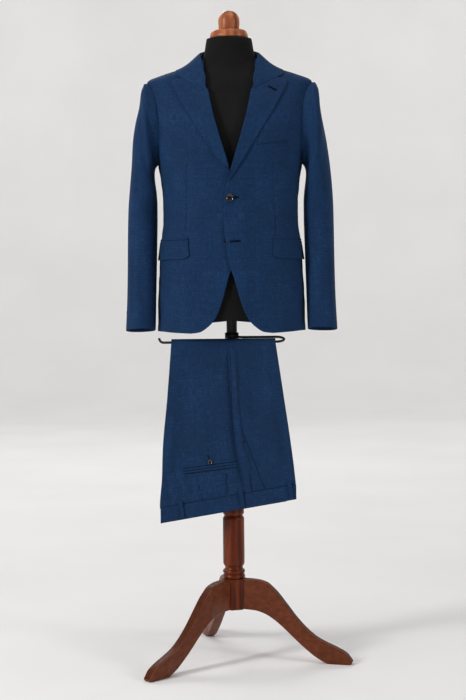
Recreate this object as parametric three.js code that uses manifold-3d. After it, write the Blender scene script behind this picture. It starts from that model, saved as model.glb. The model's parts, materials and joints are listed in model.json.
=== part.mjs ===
// A two-piece suit on its tailor's stand: a notch-lapel two-button jacket worn on a limbless dress form, with the
// trousers hung by their legs over a rail below it. Millimetres, +Z up, the wearer's front faces -Y and the wearer's
// left is +X. Everything is worked out round the stand's axis, and the group is then moved so that the origin is
// the centre of the whole object's box, on the floor.
import * as THREE from "three";
import { mergeVertices } from "three/addons/utils/BufferGeometryUtils.js";
import Module from "manifold-3d";

const wasm = await Module();
wasm.setup();

// ---------- driving sizes ----------
const SEAM = 0.3; // gap between pieces that meet at a seam
const CLOTH = 2.0; // jacket cloth with its canvas
const LAY = 0.5; // gap under a piece that lies on a panel
const TROUSER_CLOTH = 1.0;
const FORM_GAP = 2.6; // form to the jacket's inside, at the shoulders
const LEFT = 1; // the wearer's left, +X
const RIGHT = -1;
const rad = Math.PI / 180;

// ---------- materials ----------
const material = (color, roughness, metalness = 0) =>
  new THREE.MeshStandardMaterial({ color, roughness, metalness });
const WOOL = material(0x24406a, 0.85);
const BUTTON = material(0x1a1d26, 0.3);
const FORM_CLOTH = material(0x202024, 0.9);
const WOOD = material(0x6b3a22, 0.35);
const RAIL_STEEL = material(0x141414, 0.35, 0.6);

// ---------- maths ----------
const mix = (a, b, f) => a + (b - a) * f;
const clamp = (x, lo, hi) => Math.min(hi, Math.max(lo, x));
const smooth = (lo, hi, x) => {
  const f = clamp((x - lo) / (hi - lo), 0, 1);
  return f * f * (3 - 2 * f);
};
const point = (x, y, z) => new THREE.Vector3(x, y, z);

// A smooth curve through (xs, ys) that never overshoots its points (monotone cubic).
function through(xs, ys) {
  const n = xs.length;
  const slope = xs.slice(1).map((x, i) => (ys[i + 1] - ys[i]) / (x - xs[i]));
  const at = ys.map((_, i) => {
    if (i === 0) return slope[0];
    if (i === n - 1) return slope[n - 2];
    if (slope[i - 1] * slope[i] <= 0) return 0;
    return (2 * slope[i - 1] * slope[i]) / (slope[i - 1] + slope[i]);
  });
  return (x) => {
    let i = 0;
    while (i < n - 2 && x > xs[i + 1]) i++;
    const h = xs[i + 1] - xs[i];
    const f = clamp((x - xs[i]) / h, 0, 1);
    const a = (1 + 2 * f) * (1 - f) ** 2;
    const b = f * (1 - f) ** 2;
    const c = f * f * (3 - 2 * f);
    const d = f * f * (f - 1);
    return a * ys[i] + b * h * at[i] + c * ys[i + 1] + d * h * at[i + 1];
  };
}

// One smooth curve for each column of a table, over its row number or over one of its columns.
function columns(rows, over) {
  const xs = rows.map((row, i) => (over ? row[over] : i));
  const made = {};
  for (const name of Object.keys(rows[0])) {
    if (typeof rows[0][name] === "number")
      made[name] = through(xs, rows.map((row) => row[name]));
  }
  return made;
}

// Where a rising function reaches a value.
function solve(f, value, lo, hi) {
  for (let i = 0; i < 36; i++) {
    const mid = (lo + hi) / 2;
    if (f(mid) < value) lo = mid;
    else hi = mid;
  }
  return (lo + hi) / 2;
}

// ---------- meshes ----------
const spread = (n, a = 0, b = 1) =>
  Array.from({ length: n + 1 }, (_, i) => mix(a, b, i / n));

function closedMesh(points, faces) {
  let volume = 0;
  for (const [a, b, c] of faces)
    volume += points[a].dot(points[b].clone().cross(points[c]));
  const index = faces.flatMap(([a, b, c]) => (volume < 0 ? [a, c, b] : [a, b, c]));
  const geometry = new THREE.BufferGeometry().setFromPoints(points);
  return geometry.setIndex(index);
}

// A wall of cloth: at(u, v, n) is its point at n mm outside the cloth's own surface, from low to high.
function wall(us, vs, at, low, high) {
  const [nu, nv] = [us.length, vs.length];
  const points = [];
  for (const n of [high, low])
    for (const v of vs) for (const u of us) points.push(at(u, v, n));
  const id = (i, j, k) => k * nu * nv + j * nu + i;
  const faces = [];
  const quad = (a, b, c, d) => faces.push([a, b, c], [a, c, d]);
  for (let j = 0; j < nv - 1; j++)
    for (let i = 0; i < nu - 1; i++) {
      quad(id(i, j, 0), id(i + 1, j, 0), id(i + 1, j + 1, 0), id(i, j + 1, 0));
      quad(id(i, j, 1), id(i, j + 1, 1), id(i + 1, j + 1, 1), id(i + 1, j, 1));
    }
  for (let i = 0; i < nu - 1; i++) {
    quad(id(i, 0, 1), id(i + 1, 0, 1), id(i + 1, 0, 0), id(i, 0, 0));
    quad(id(i, nv - 1, 0), id(i + 1, nv - 1, 0), id(i + 1, nv - 1, 1), id(i, nv - 1, 1));
  }
  for (let j = 0; j < nv - 1; j++) {
    quad(id(0, j, 0), id(0, j + 1, 0), id(0, j + 1, 1), id(0, j, 1));
    quad(id(nu - 1, j, 1), id(nu - 1, j + 1, 1), id(nu - 1, j + 1, 0), id(nu - 1, j, 0));
  }
  return closedMesh(points, faces);
}

// A solid through closed rings, capped at both ends.
function loft(rings) {
  const n = rings[0].length;
  const middle = (ring) => ring.reduce((a, b) => a.add(b), point(0, 0, 0)).multiplyScalar(1 / n);
  const points = [...rings.flat(), middle(rings[0].map((p) => p.clone()))];
  points.push(middle(rings.at(-1).map((p) => p.clone())));
  const last = (rings.length - 1) * n;
  const faces = [];
  for (let j = 0; j < rings.length - 1; j++)
    for (let i = 0; i < n; i++) {
      const [a, b] = [j * n + i, j * n + ((i + 1) % n)];
      faces.push([a, b, b + n], [a, b + n, a + n]);
    }
  for (let i = 0; i < n; i++) {
    faces.push([(i + 1) % n, i, points.length - 2]);
    faces.push([last + i, last + ((i + 1) % n), points.length - 1]);
  }
  return closedMesh(points, faces);
}

// A turned piece round the Z axis, from [radius, height] pairs that start and end on the axis.
function turned(profile, sides) {
  const outline = profile.map(([r, z]) => new THREE.Vector2(r, z));
  return new THREE.LatheGeometry(outline, sides).rotateX(Math.PI / 2);
}

const root = new THREE.Group();
function add(name, geometry, surface) {
  const mesh = new THREE.Mesh(geometry, surface);
  mesh.name = name;
  root.add(mesh);
  return mesh;
}
const sideName = (side) => (side === LEFT ? "left" : "right");

// ---------- the jacket's own shape ----------
// Rings round the body from below the hem to the neck seam. A ring is half wide to each side and reaches front
// and back of the axis, at heights zFront, zSide and zBack. box squares its corners.
const ring = (z, half, front, back, box = 0.03) =>
  ({ half, front, back, zFront: z, zSide: z, zBack: z, box });
const BODY = [
  ring(860, 197.5, 124, 131),
  ring(950, 195, 123, 131),
  ring(1035, 191.5, 120, 125),
  ring(1098, 187, 117, 116),
  ring(1160, 180.5, 115, 108),
  ring(1208, 179, 115, 105),
  ring(1257, 183, 118, 107),
  ring(1320, 193, 123, 113),
  ring(1385, 200, 121, 117),
  ring(1440, 208, 108, 115, 0.025),
  { half: 214, front: 90, back: 106, zFront: 1478, zSide: 1500, zBack: 1492, box: 0.015 },
  { half: 218, front: 76, back: 93, zFront: 1505, zSide: 1534, zBack: 1535, box: 0 },
  { half: 177, front: 70, back: 86, zFront: 1522, zSide: 1554, zBack: 1560, box: 0 },
  { half: 137, front: 65, back: 78, zFront: 1537, zSide: 1567, zBack: 1581, box: 0 },
  { half: 108, front: 61, back: 70, zFront: 1549, zSide: 1580, zBack: 1598, box: 0 },
  { half: 79, front: 58, back: 62, zFront: 1561, zSide: 1600, zBack: 1614, box: 0 },
];
const SHOULDER = 11; // the ring through the shoulder points
const NECK = BODY.length - 1; // the ring of the neck seam
const body = columns(BODY);

const across = (angle, box) => (Math.sin(angle) + box * Math.sin(3 * angle)) / (1 - box);
const along = (angle, box) => (Math.cos(angle) - box * Math.cos(3 * angle)) / (1 - box);

// A point of the body's surface: angle in degrees from the centre front towards the wearer's left, ring number t.
function onBody(angle, t) {
  const a = angle * rad;
  const box = body.box(t);
  const c = along(a, box);
  const depth = c > 0 ? -body.front(t) * c : -body.back(t) * c;
  const end = c > 0 ? body.zFront(t) : body.zBack(t);
  const z = mix(body.zSide(t), end, Math.cos(a) ** 2);
  return point(body.half(t) * across(a, box), depth, z);
}

// The same, n mm outside the surface.
function offBody(angle, t, n) {
  const t0 = clamp(t, 0.02, NECK - 0.02);
  const da = onBody(angle + 0.5, t0).sub(onBody(angle - 0.5, t0));
  const dt = onBody(angle, t0 + 0.02).sub(onBody(angle, t0 - 0.02));
  const normal = da.cross(dt).normalize();
  return onBody(angle, t).addScaledVector(normal, n);
}

// Ring number at a height, for one angle.
const ringAt = (angle, z) => solve((t) => onBody(angle, t).z, z, 0, NECK);

// Angle and ring number of the front's point that is seen at x, z from in front.
function onFront(x, z) {
  let angle = 0;
  let t = ringAt(0, z);
  for (let i = 0; i < 12; i++) {
    const share = clamp(Math.abs(x) / body.half(t), 0, 0.9999);
    const a = solve((q) => across(q * rad, body.box(t)), share, 0, 90);
    angle = Math.sign(x) * a;
    t = ringAt(angle, z);
  }
  return { angle, t };
}

// The armhole: phi is 0 at the shoulder point, 90 in front, 180 under the arm and 270 behind.
const ARMHOLE = { middle: 1426, half: 108, front: 66, back: 70, egg: 0.3 };
function armhole(phi) {
  const p = phi * rad;
  const reach = Math.sin(p) > 0 ? ARMHOLE.front : ARMHOLE.back;
  const y = -reach * Math.sin(p) * (1 - (ARMHOLE.egg * (1 + Math.cos(p))) / 2);
  const z = ARMHOLE.middle + ARMHOLE.half * Math.cos(p);
  let angle = 90;
  let t = SHOULDER;
  for (let i = 0; i < 12; i++) {
    const depth = y < 0 ? body.front(t) : body.back(t);
    angle = solve((q) => -along(q * rad, body.box(t)), clamp(y / depth, -0.99, 0.99), 0, 180);
    t = Math.min(ringAt(angle, z), SHOULDER);
  }
  return { angle, t };
}

// The seams between front and side panel, and between side panel and back.
const frontSeam = (z) => mix(62, 71, smooth(1150, 1330, z));
const backSeam = (z) => mix(116, 110, smooth(1100, 1330, z));
const atSeam = (angle, z) => ({ angle, t: ringAt(angle, z) });

// How far the wearer's left front stands out where it laps over the right one: under it lie the right front and,
// below the fastened button, the button that is left undone.
const LAP = { edge: 26, flat: 66, fastened: 1190, open: 1130, lift: 0.8, openLift: 4.6 };
function lapLift(side, x, z) {
  if (side !== LEFT) return 0;
  const lift = mix(LAP.openLift, LAP.lift, smooth(LAP.open, LAP.fastened, z)) + CLOTH;
  const over = 1 - smooth(LAP.edge, LAP.flat, x);
  const fade = 1 - smooth(1292, 1340, z);
  return lift * over * fade;
}

// Where the two side seams end on the armhole.
const armholeZ = (phi) => ARMHOLE.middle + ARMHOLE.half * Math.cos(phi * rad);
const seamEnd = (seam, low, high) => {
  const phi = solve((p) => armhole(p).angle - seam(armholeZ(p)), 0, low, high);
  return { phi, z: armholeZ(phi) };
};
const FRONT_END = seamEnd(frontSeam, 90, 180);
const BACK_END = seamEnd(backSeam, 180, 250);

// A front, row by row from the hem. x, z: its front edge, then its roll line, in front view. seam: the height on its
// side seam. phi: the place on the armhole. neck: the angle on the neck seam.
const FRONT = [
  { x: 106, z: 869.5, seam: 874 },
  { x: 84, z: 872.5, seam: 886 },
  { x: 62, z: 886, seam: 900 },
  { x: 42, z: 908, seam: 918 },
  { x: 25, z: 949, seam: 952 },
  { x: 8, z: 1010, seam: 1006 },
  { x: -2, z: 1040, seam: 1034 },
  { x: -9, z: 1075, seam: 1068 },
  { x: -14, z: 1113, seam: 1104 },
  { x: -18, z: 1170, seam: 1150 },
  { x: -17, z: 1221, seam: 1190 },
  { x: -12, z: 1250, seam: 1222 },
  { x: 1, z: 1291, seam: 1256 },
  { x: 10, z: 1325, seam: 1290 },
  { x: 21, z: 1362, seam: FRONT_END.z },
  { x: 35, z: 1408, phi: 118 },
  { x: 47, z: 1455, phi: 92 },
  { x: 56, z: 1500, phi: 68 },
  { x: 65, z: 1550, phi: 44 },
  { neck: 62, phi: 22 },
  { neck: 93, phi: 4 },
];
const SEAM_ROWS = 14; // rows of a panel's side seam, from the hem to the armhole
const inSeam = SEAM / 2 / 190 / rad; // half a seam's gap, as an angle
const edgeOf = (table, seam, end, gap) => {
  const height = through(spread(SEAM_ROWS, 0, SEAM_ROWS), table.slice(0, SEAM_ROWS + 1).map((row) => row.seam));
  const phis = [end.phi, ...table.slice(SEAM_ROWS + 1).map((row) => row.phi)];
  const round = through(phis.map((_, i) => SEAM_ROWS + i), phis);
  const at = (row) => {
    if (row > SEAM_ROWS) return armhole(round(row));
    return atSeam(seam(height(row)) + gap, height(row));
  };
  return { at, height };
};
const innerOf = (table, centre) => columns(table.map((row) => {
  if (row.neck) return { angle: row.neck, t: NECK };
  return centre ? atSeam(centre, row.z) : onFront(row.x, row.z);
}));
const frontInner = innerOf(FRONT);
const frontOuter = edgeOf(FRONT, frontSeam, FRONT_END, -inSeam);
const mirror = (p, side) => point(p.x * side, p.y, p.z);

// u runs from the front edge to the side seam and armhole; row counts from the hem to the shoulder seam.
function frontAt(side, u, row, n) {
  const outer = frontOuter.at(row);
  const angle = mix(frontInner.angle(row), outer.angle, u);
  const t = mix(frontInner.t(row), outer.t, u);
  const here = onBody(angle, t);
  return mirror(offBody(angle, t, n + lapLift(side, here.x, here.z)), side);
}

const BACK = [
  { z: 896, seam: 874 },
  { z: 904, seam: 886 },
  { z: 915, seam: 900 },
  { z: 930, seam: 918 },
  { z: 959, seam: 952 },
  { z: 1009, seam: 1006 },
  { z: 1034, seam: 1034 },
  { z: 1068, seam: 1068 },
  { z: 1104, seam: 1104 },
  { z: 1150, seam: 1150 },
  { z: 1192, seam: 1190 },
  { z: 1228, seam: 1222 },
  { z: 1266, seam: 1256 },
  { z: 1310, seam: 1290 },
  { z: 1360, seam: BACK_END.z },
  { z: 1420, phi: 234 },
  { z: 1480, phi: 262 },
  { z: 1535, phi: 290 },
  { z: 1576, phi: 312 },
  { neck: 179.9, phi: 328 },
  { neck: 140, phi: 343 },
  { neck: 93.6, phi: 356 },
];
const backInner = innerOf(BACK, 179.9);
const backOuter = edgeOf(BACK, backSeam, BACK_END, inSeam);
function backAt(side, u, row, n) {
  const outer = backOuter.at(row);
  const angle = mix(backInner.angle(row), outer.angle, u);
  return mirror(offBody(angle, mix(backInner.t(row), outer.t, u), n), side);
}

// The side panel, between the two seams and up to the armhole's lowest part.
function sidePanelAt(side, u, row, n) {
  const top = armhole(mix(FRONT_END.phi, BACK_END.phi, u));
  const topZ = armholeZ(mix(FRONT_END.phi, BACK_END.phi, u)) - SEAM;
  const [zf, zb] = [frontOuter.height(row), backOuter.height(row)];
  const low = frontOuter.height(0);
  const share = mix(zf, zb, u);
  const v = (share - low) / (mix(FRONT_END.z, BACK_END.z, u) - low);
  const z = share + (topZ - mix(FRONT_END.z, BACK_END.z, u)) * v ** 3;
  const angle = mix(frontSeam(zf) + inSeam, backSeam(zb) - inSeam, u);
  const here = mix(angle, clamp(top.angle, frontSeam(zf) + inSeam, backSeam(zb) - inSeam), v ** 4 * Math.sin(Math.PI * u));
  return mirror(offBody(here, ringAt(here, z), n), side);
}

for (const side of [LEFT, RIGHT]) {
  const name = sideName(side);
  const rows = spread(SEAM_ROWS, 0, SEAM_ROWS);
  const columnsOf = [0, 0.08, 0.22, 0.4, 0.58, 0.75, 0.88, 1];
  const frontRows = [...rows, 15, 16, 17, 17.6, 18.2, 18.7, 19.1, 19.5, 19.96];
  add(`jacket_front_${name}`,
    wall(columnsOf, frontRows, (u, row, n) => frontAt(side, u, row, n), -CLOTH, 0), WOOL);
  add(`jacket_side_${name}`,
    wall(spread(4), rows, (u, row, n) => sidePanelAt(side, u, row, n), -CLOTH, 0), WOOL);
  const backRows = [...rows, 15, 16, 17, 18, 18.6, 19.2, 19.8, 20.4, 21];
  add(`jacket_back_${name}`,
    wall([0, 0.19, 0.38, 0.57, 0.74, 0.88, 1], backRows, (u, row, n) => backAt(side, u, row, n), -CLOTH, 0), WOOL);
}

// ---------- sleeves ----------
// Rings of a sleeve: its outermost and innermost points in front view, its middle, and its reach to front and back.
const SLEEVE = [
  { outX: 227, outZ: 1531.5, inX: 198, inZ: 1309, middle: 0, front: 62, back: 65 },
  { outX: 235, outZ: 1514, inX: 201, inZ: 1300, middle: 0, front: 67, back: 70 },
  { outX: 240, outZ: 1474, inX: 202, inZ: 1288, middle: 0, front: 70, back: 73 },
  { outX: 249, outZ: 1430, inX: 201, inZ: 1274, middle: 0, front: 71, back: 74 },
  { outX: 257, outZ: 1378, inX: 199, inZ: 1258, middle: 0, front: 70, back: 72 },
  { outX: 263, outZ: 1321, inX: 196.5, inZ: 1238, middle: 1, front: 67, back: 69 },
  { outX: 269, outZ: 1255, inX: 195, inZ: 1210, middle: 2, front: 63, back: 66 },
  { outX: 273, outZ: 1190, inX: 195, inZ: 1170, middle: 2, front: 60, back: 62 },
  { outX: 274.5, outZ: 1120, inX: 196, inZ: 1116, middle: -2, front: 57, back: 58 },
  { outX: 275, outZ: 1040, inX: 197.5, inZ: 1040, middle: -11, front: 53, back: 54 },
  { outX: 276, outZ: 965, inX: 199, inZ: 965, middle: -22, front: 49, back: 50 },
  { outX: 278, outZ: 910, inX: 200, inZ: 910, middle: -30, front: 47, back: 47 },
  { outX: 279.5, outZ: 876, inX: 201, inZ: 878, middle: -34, front: 46, back: 46 },
];
const sleeve = columns(SLEEVE);
const CUFF = { box: 0.02, slope: 6 }; // the cuff's back edge hangs lower than its front
const LAST = SLEEVE.length;

// k is 0 at the armhole and LAST at the cuff; phi runs as it does round the armhole.
function sleeveRing(phi, k) {
  const p = phi * rad;
  const s = Math.max(k - 1, 0);
  const sine = across(p, CUFF.box);
  const cosine = along(p, CUFF.box);
  const reach = sine > 0 ? sleeve.front(s) : sleeve.back(s);
  const low = CUFF.slope * sine * smooth(LAST - 3, LAST, k);
  const made = point(
    mix(sleeve.inX(s), sleeve.outX(s), (1 + cosine) / 2),
    sleeve.middle(s) - reach * sine,
    mix(sleeve.inZ(s), sleeve.outZ(s), (1 + cosine) / 2) + low,
  );
  if (k >= 1) return made;
  const { angle, t } = armhole(phi);
  return offBody(angle, t, LAY + 0.3).lerp(made, k);
}
function sleeveAt(side, phi, k, n) {
  const k0 = clamp(k, 0.02, LAST - 0.02);
  const dp = sleeveRing(phi + 1, k0).sub(sleeveRing(phi - 1, k0));
  const dk = sleeveRing(phi, k0 + 0.02).sub(sleeveRing(phi, k0 - 0.02));
  const normal = dp.cross(dk).normalize();
  return mirror(sleeveRing(phi, k).addScaledVector(normal, n), side);
}

// The hind seam carries the cuff's buttons. The right sleeve hangs turned, so that its buttons lie outermost.
const SEAMS = {
  left: { front: 150, hind: [-112, -100, -84] },
  right: { front: 150, hind: [-108, -72, -28] },
};
function hindSeam(side, k) {
  const hind = SEAMS[sideName(side)].hind;
  return through([0, 0.55 * LAST, LAST], hind)(k);
}
const seamAngle = 0.2; // half a sleeve seam's gap, in degrees
const sleeveRows = [0, 0.35, 1, 2, 3, 4, 5, 6, 7, 8, 9, 10, 11, 12, LAST];
const wallNormal = (() => {
  const p = sleeveAt(LEFT, 0, 6, 1).x - sleeveAt(LEFT, 0, 6, 0).x;
  return Math.sign(p); // +1 where n grows outwards
})();
for (const side of [LEFT, RIGHT]) {
  const name = sideName(side);
  const top = (u, k, n) =>
    sleeveAt(side, mix(hindSeam(side, k) + seamAngle, SEAMS[name].front - seamAngle, u), k, n * wallNormal);
  const under = (u, k, n) =>
    sleeveAt(side, mix(SEAMS[name].front + seamAngle, hindSeam(side, k) + 360 - seamAngle, u), k, n * wallNormal);
  add(`top_sleeve_${name}`, wall(spread(11), sleeveRows, top, -CLOTH, 0), WOOL);
  add(`under_sleeve_${name}`, wall(spread(5), sleeveRows, under, -CLOTH, 0), WOOL);
}

// ---------- lapels and collar ----------
// A lapel from its lower end to the gorge: the roll line and the outer edge in front view.
const LAPEL = [
  { rollX: 3, rollZ: 1300, edgeX: 13, edgeZ: 1301 },
  { rollX: 9, rollZ: 1322, edgeX: 36, edgeZ: 1325 },
  { rollX: 24, rollZ: 1372, edgeX: 74, edgeZ: 1387 },
  { rollX: 39, rollZ: 1425, edgeX: 117, edgeZ: 1458 },
  { rollX: 48, rollZ: 1462, edgeX: 151, edgeZ: 1525 },
  { rollX: 56, rollZ: 1503, edgeX: 126, edgeZ: 1541 },
];
// The left lapel, which lies on top, runs on down to the break.
const LAPEL_BREAK = [
  { rollX: -9, rollZ: 1264, edgeX: -4, edgeZ: 1265 },
  { rollX: -3, rollZ: 1284, edgeX: 10, edgeZ: 1287 },
];
const ROLL = 3.2; // the roll stands away from the chest and the edge lies on it
const LAPEL_CLOTH = 2.4;
const LAPEL_LAY = 0.9;
const lapels = { [LEFT]: [...LAPEL_BREAK, ...LAPEL.slice(1)], [RIGHT]: LAPEL };
const lapelLines = { [LEFT]: columns(lapels[LEFT]), [RIGHT]: columns(lapels[RIGHT]) };
function lapelAt(side, u, v, n) {
  const line = lapelLines[side];
  const row = v * (lapels[side].length - 1);
  const x = mix(line.rollX(row), line.edgeX(row), u);
  const z = mix(line.rollZ(row), line.edgeZ(row), u);
  const { angle, t } = onFront(x, z);
  const roll = ROLL * (1 - u) ** 2 * smooth(0, 1.2, row);
  return mirror(offBody(angle, t, n + LAPEL_LAY + roll + lapLift(side, x, z)), side);
}
for (const side of [LEFT, RIGHT]) {
  const across = [0, 0.12, 0.3, 0.5, 0.75, 1];
  const up = spread((lapels[side].length - 1) * 3);
  add(`lapel_${sideName(side)}`,
    wall(across, up, (u, v, n) => lapelAt(side, u, v, n), 0, LAPEL_CLOTH), WOOL);
}

// Half a collar, from the centre back (angle 180) round the neck to the gorge: its fold, then its outer edge, which
// lies on the shoulder. Behind, both are given on the body's rings and the fold stands rise mm above the neck seam;
// in front, both are given in front view.
const COLLAR = [
  { angle: 180, rise: 22, edgeAngle: 180, edge: 13.25 },
  { angle: 150, rise: 21, edgeAngle: 157, edge: 13.3 },
  { angle: 122, rise: 18, edgeAngle: 134, edge: 13.3 },
  { angle: 98, rise: 14, edgeAngle: 104, edge: 13.1 },
  { angle: 76, rise: 10, edgeAngle: 84, edge: 12.85 },
  { rollX: 70, rollZ: 1574, rise: 6, edgeX: 146, edgeZ: 1557 },
  { rollX: 64, rollZ: 1540, rise: 4, edgeX: 146, edgeZ: 1555 },
  { rollX: 56.5, rollZ: 1504, rise: ROLL, edgeX: 144, edgeZ: 1551 },
];
const COLLAR_WIDTHS = [0, 0.15, 0.35, 0.65, 1];
const COLLAR_CLOTH = 2.2;
const COLLAR_LAY = 1.1;
const BEHIND = 5; // rows given on the body's rings
const collar = columns(COLLAR.map(({ rise }) => ({ rise })));
const neckLine = columns(COLLAR.slice(0, BEHIND).map(({ angle }) => ({ angle })));
const collarStrands = COLLAR_WIDTHS.map((w) => columns(COLLAR.map((row) => {
  if (row.rollX) return onFront(mix(row.rollX, row.edgeX, w), mix(row.rollZ, row.edgeZ, w));
  return { angle: mix(row.angle, row.edgeAngle, w), t: mix(NECK, row.edge, w) };
})));
// i counts the widths, from the fold to the outer edge.
function collarAt(side, row, i, n) {
  const w = COLLAR_WIDTHS[i];
  const strand = collarStrands[i];
  const [angle, t] = [strand.angle(row), strand.t(row)];
  const behind = 1 - smooth(BEHIND - 2, BEHIND + 0.5, row);
  const rise = collar.rise(row);
  const bulge = mix(ROLL * (1 - w) ** 2, rise * 0.75 * (1 - w) ** 1.6, behind);
  const made = offBody(angle, t, COLLAR_LAY + bulge + n);
  if (behind > 0 && w < 1) {
    const seam = onBody(strand.angle(row), NECK);
    const fold = point(seam.x * 0.97, seam.y * 0.97, seam.z + rise);
    const out = offBody(angle, t, 1).sub(offBody(angle, t, 0));
    made.lerp(fold.addScaledVector(out, n), behind * (1 - w) ** 4);
  }
  return mirror(made, side);
}
// Both halves in one piece, from notch to notch.
const collarRows = spread(2 * (COLLAR.length - 1), 0, COLLAR.length - 1);
const bothHalves = [...collarRows.slice(1).reverse().map((row) => [RIGHT, row]), ...collarRows.map((row) => [LEFT, row])];
add("collar",
  wall(bothHalves.map((_, i) => i), COLLAR_WIDTHS.map((_, i) => i),
    (u, i, n) => collarAt(...bothHalves[u], i, n), 0, COLLAR_CLOTH), WOOL);

// The stand, between the neck seam and the fold.
function standAt(side, s, w, n) {
  const row = s * (BEHIND - 1);
  const angle = neckLine.angle(row);
  const low = onBody(angle, NECK - 0.02);
  const high = point(low.x * 0.97, low.y * 0.97, low.z + collar.rise(row) - SEAM);
  const out = point(low.x / body.half(NECK) ** 2, low.y / body.back(NECK) ** 2, 0).normalize();
  low.z += 1;
  return mirror(low.lerp(high, w).addScaledVector(out, n - 3.6), side);
}
add("collar_stand",
  wall(spread(20, -1, 1), [0, 1], (u, w, n) => standAt(u < 0 ? RIGHT : LEFT, Math.abs(u), w, n), 0, 2), WOOL);

// ---------- pockets ----------
// A patch of the front between two slanting ends, in front view.
function onPatch(side, corners, u, v, n, round = 0) {
  const { low0, low1, high0, high1 } = corners;
  const drop = round * Math.max(0, 1 - u / 0.12) ** 2 * Math.max(0, 1 - v / 0.3);
  const x = mix(mix(low0.x, low1.x, u), mix(high0.x, high1.x, u), v);
  const z = mix(mix(low0.z, low1.z, u), mix(high0.z, high1.z, u), v) + drop;
  const { angle, t } = onFront(x, z);
  return mirror(offBody(angle, t, n + lapLift(side, x, z)), side);
}
const WELT = {
  low0: { x: 68, z: 1357 }, low1: { x: 163, z: 1373 },
  high0: { x: 79, z: 1385 }, high1: { x: 165, z: 1399 },
};
add("breast_welt",
  wall(spread(8), spread(2), (u, v, n) => onPatch(LEFT, WELT, u, v, n), LAY, LAY + 1.8), WOOL);

// A flap runs round the side, so its far end is given by an angle.
const FLAP = { x: 111, low: 1063, high: 1113, lean: 4, round: 9, end: 92, cloth: 2 };
function flapAt(side, u, v, n) {
  const start = onFront(FLAP.x - FLAP.lean * (1 - v), mix(FLAP.low, FLAP.high, v)).angle;
  const lift = FLAP.round * Math.max(0, 1 - u / 0.1) ** 2 * Math.max(0, 1 - v / 0.4);
  const z = mix(FLAP.low, FLAP.high, v) + lift - 2 * u;
  const angle = mix(start, FLAP.end, u);
  const swell = 1.5 * (1 - v);
  return mirror(offBody(angle, ringAt(angle, z), n + swell), side);
}
const JET = { low: 1113.6, high: 1119, cloth: 1.2 };
function jetAt(side, u, v, n) {
  const start = onFront(FLAP.x, JET.low).angle;
  const angle = mix(start, FLAP.end, u);
  return mirror(offBody(angle, ringAt(angle, mix(JET.low, JET.high, v) - 2 * u), n), side);
}
for (const side of [LEFT, RIGHT]) {
  add(`pocket_flap_${sideName(side)}`,
    wall([0, 0.04, 0.1, ...spread(7, 0.22, 1)], [0, 0.14, 0.4, 1], (u, v, n) => flapAt(side, u, v, n),
      LAY, LAY + FLAP.cloth), WOOL);
  add(`pocket_jet_${sideName(side)}`,
    wall(spread(10), [0, 1], (u, v, n) => jetAt(side, u, v, n), LAY, LAY + JET.cloth), WOOL);
}

// ---------- jacket buttons ----------
// A button faces along a surface's normal: base is the point that it sits on, away a point further out.
function button(name, base, away, radius, thick) {
  const disc = turned([[0, 0], [radius * 0.8, 0], [radius, thick * 0.45], [radius * 0.9, thick],
    [radius * 0.62, thick * 0.7], [0, thick * 0.7]], 14);
  const mesh = add(name, disc, BUTTON);
  mesh.position.copy(base);
  mesh.quaternion.setFromUnitVectors(point(0, 0, 1), away.clone().sub(base).normalize());
}
const onChest = (side, x, z, n) => {
  const { angle, t } = onFront(x, z);
  return offBody(angle, t, n + lapLift(side, x, z));
};
const FRONT_BUTTON = { radius: 11, thick: 4 };
const UPPER = { x: -2, z: 1221 };
const LOWER = { x: -9, z: 1107 };
button("front_button_upper", onChest(LEFT, UPPER.x, UPPER.z, LAY), onChest(LEFT, UPPER.x, UPPER.z, 9),
  FRONT_BUTTON.radius, FRONT_BUTTON.thick);
button("front_button_lower", onChest(RIGHT, LOWER.x, LOWER.z, SEAM), onChest(RIGHT, LOWER.x, LOWER.z, 9),
  FRONT_BUTTON.radius - 1, FRONT_BUTTON.thick - 0.3);

const CUFF_BUTTON = { count: 4, radius: 6, pitch: 12.4, first: 926, thick: 3.2, from: 15 };
const sleeveRow = (z) => solve((k) => -sleeveRing(0, k).z, -z, 1, LAST);
for (const side of [LEFT, RIGHT])
  for (let i = 0; i < CUFF_BUTTON.count; i++) {
    const k = sleeveRow(CUFF_BUTTON.first + i * CUFF_BUTTON.pitch);
    const phi = hindSeam(side, k) + CUFF_BUTTON.from;
    const at = (n) => sleeveAt(side, phi, k, n * wallNormal);
    button(`cuff_button_${sideName(side)}_${i + 1}`, at(SEAM), at(9), CUFF_BUTTON.radius, CUFF_BUTTON.thick);
  }

// ---------- trousers ----------
const RAIL = { y: -58, z: 845, radius: 3.3, left: -184, right: 118, bend: 20, armZ: 856 };
const POLE = 14;

// The drape of a leg, from the waistband's seam up the front, over the rail and down behind, where the hems are
// turned up. Its back crease is x0, towards -X, and its front crease is x1.
const LEG_FRONT = [
  { z: 372, x0: -187.5, x1: 168 },
  { z: 413, x0: -191, x1: 167 },
  { z: 490, x0: -185, x1: 161 },
  { z: 568, x0: -182, x1: 152 },
  { z: 698, x0: -169.5, x1: 134 },
  { z: 845, x0: -157.5, x1: 113 },
];
const LEG_BACK = [
  { s: 0, x0: -157.5, x1: 113 },
  { s: 150, x0: -147, x1: 94 },
  { s: 390, x0: -137, x1: 76 },
  { s: 600, x0: -131, x1: 62 },
];
const legFront = columns(LEG_FRONT, "z");
const legBack = columns(LEG_BACK, "s");
const BAND = { low0: 374, low1: 433, high0: 413, high1: 472, x0: -190, x1: 166, cloth: 2.4 };
const bandShare = (x) => clamp((x - BAND.x0) / (BAND.x1 - BAND.x0), -0.05, 1.05);
const bandLow = (x) => mix(BAND.low0, BAND.low1, bandShare(x));
const bandHigh = (x) => mix(BAND.high0, BAND.high1, bandShare(x));

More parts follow.
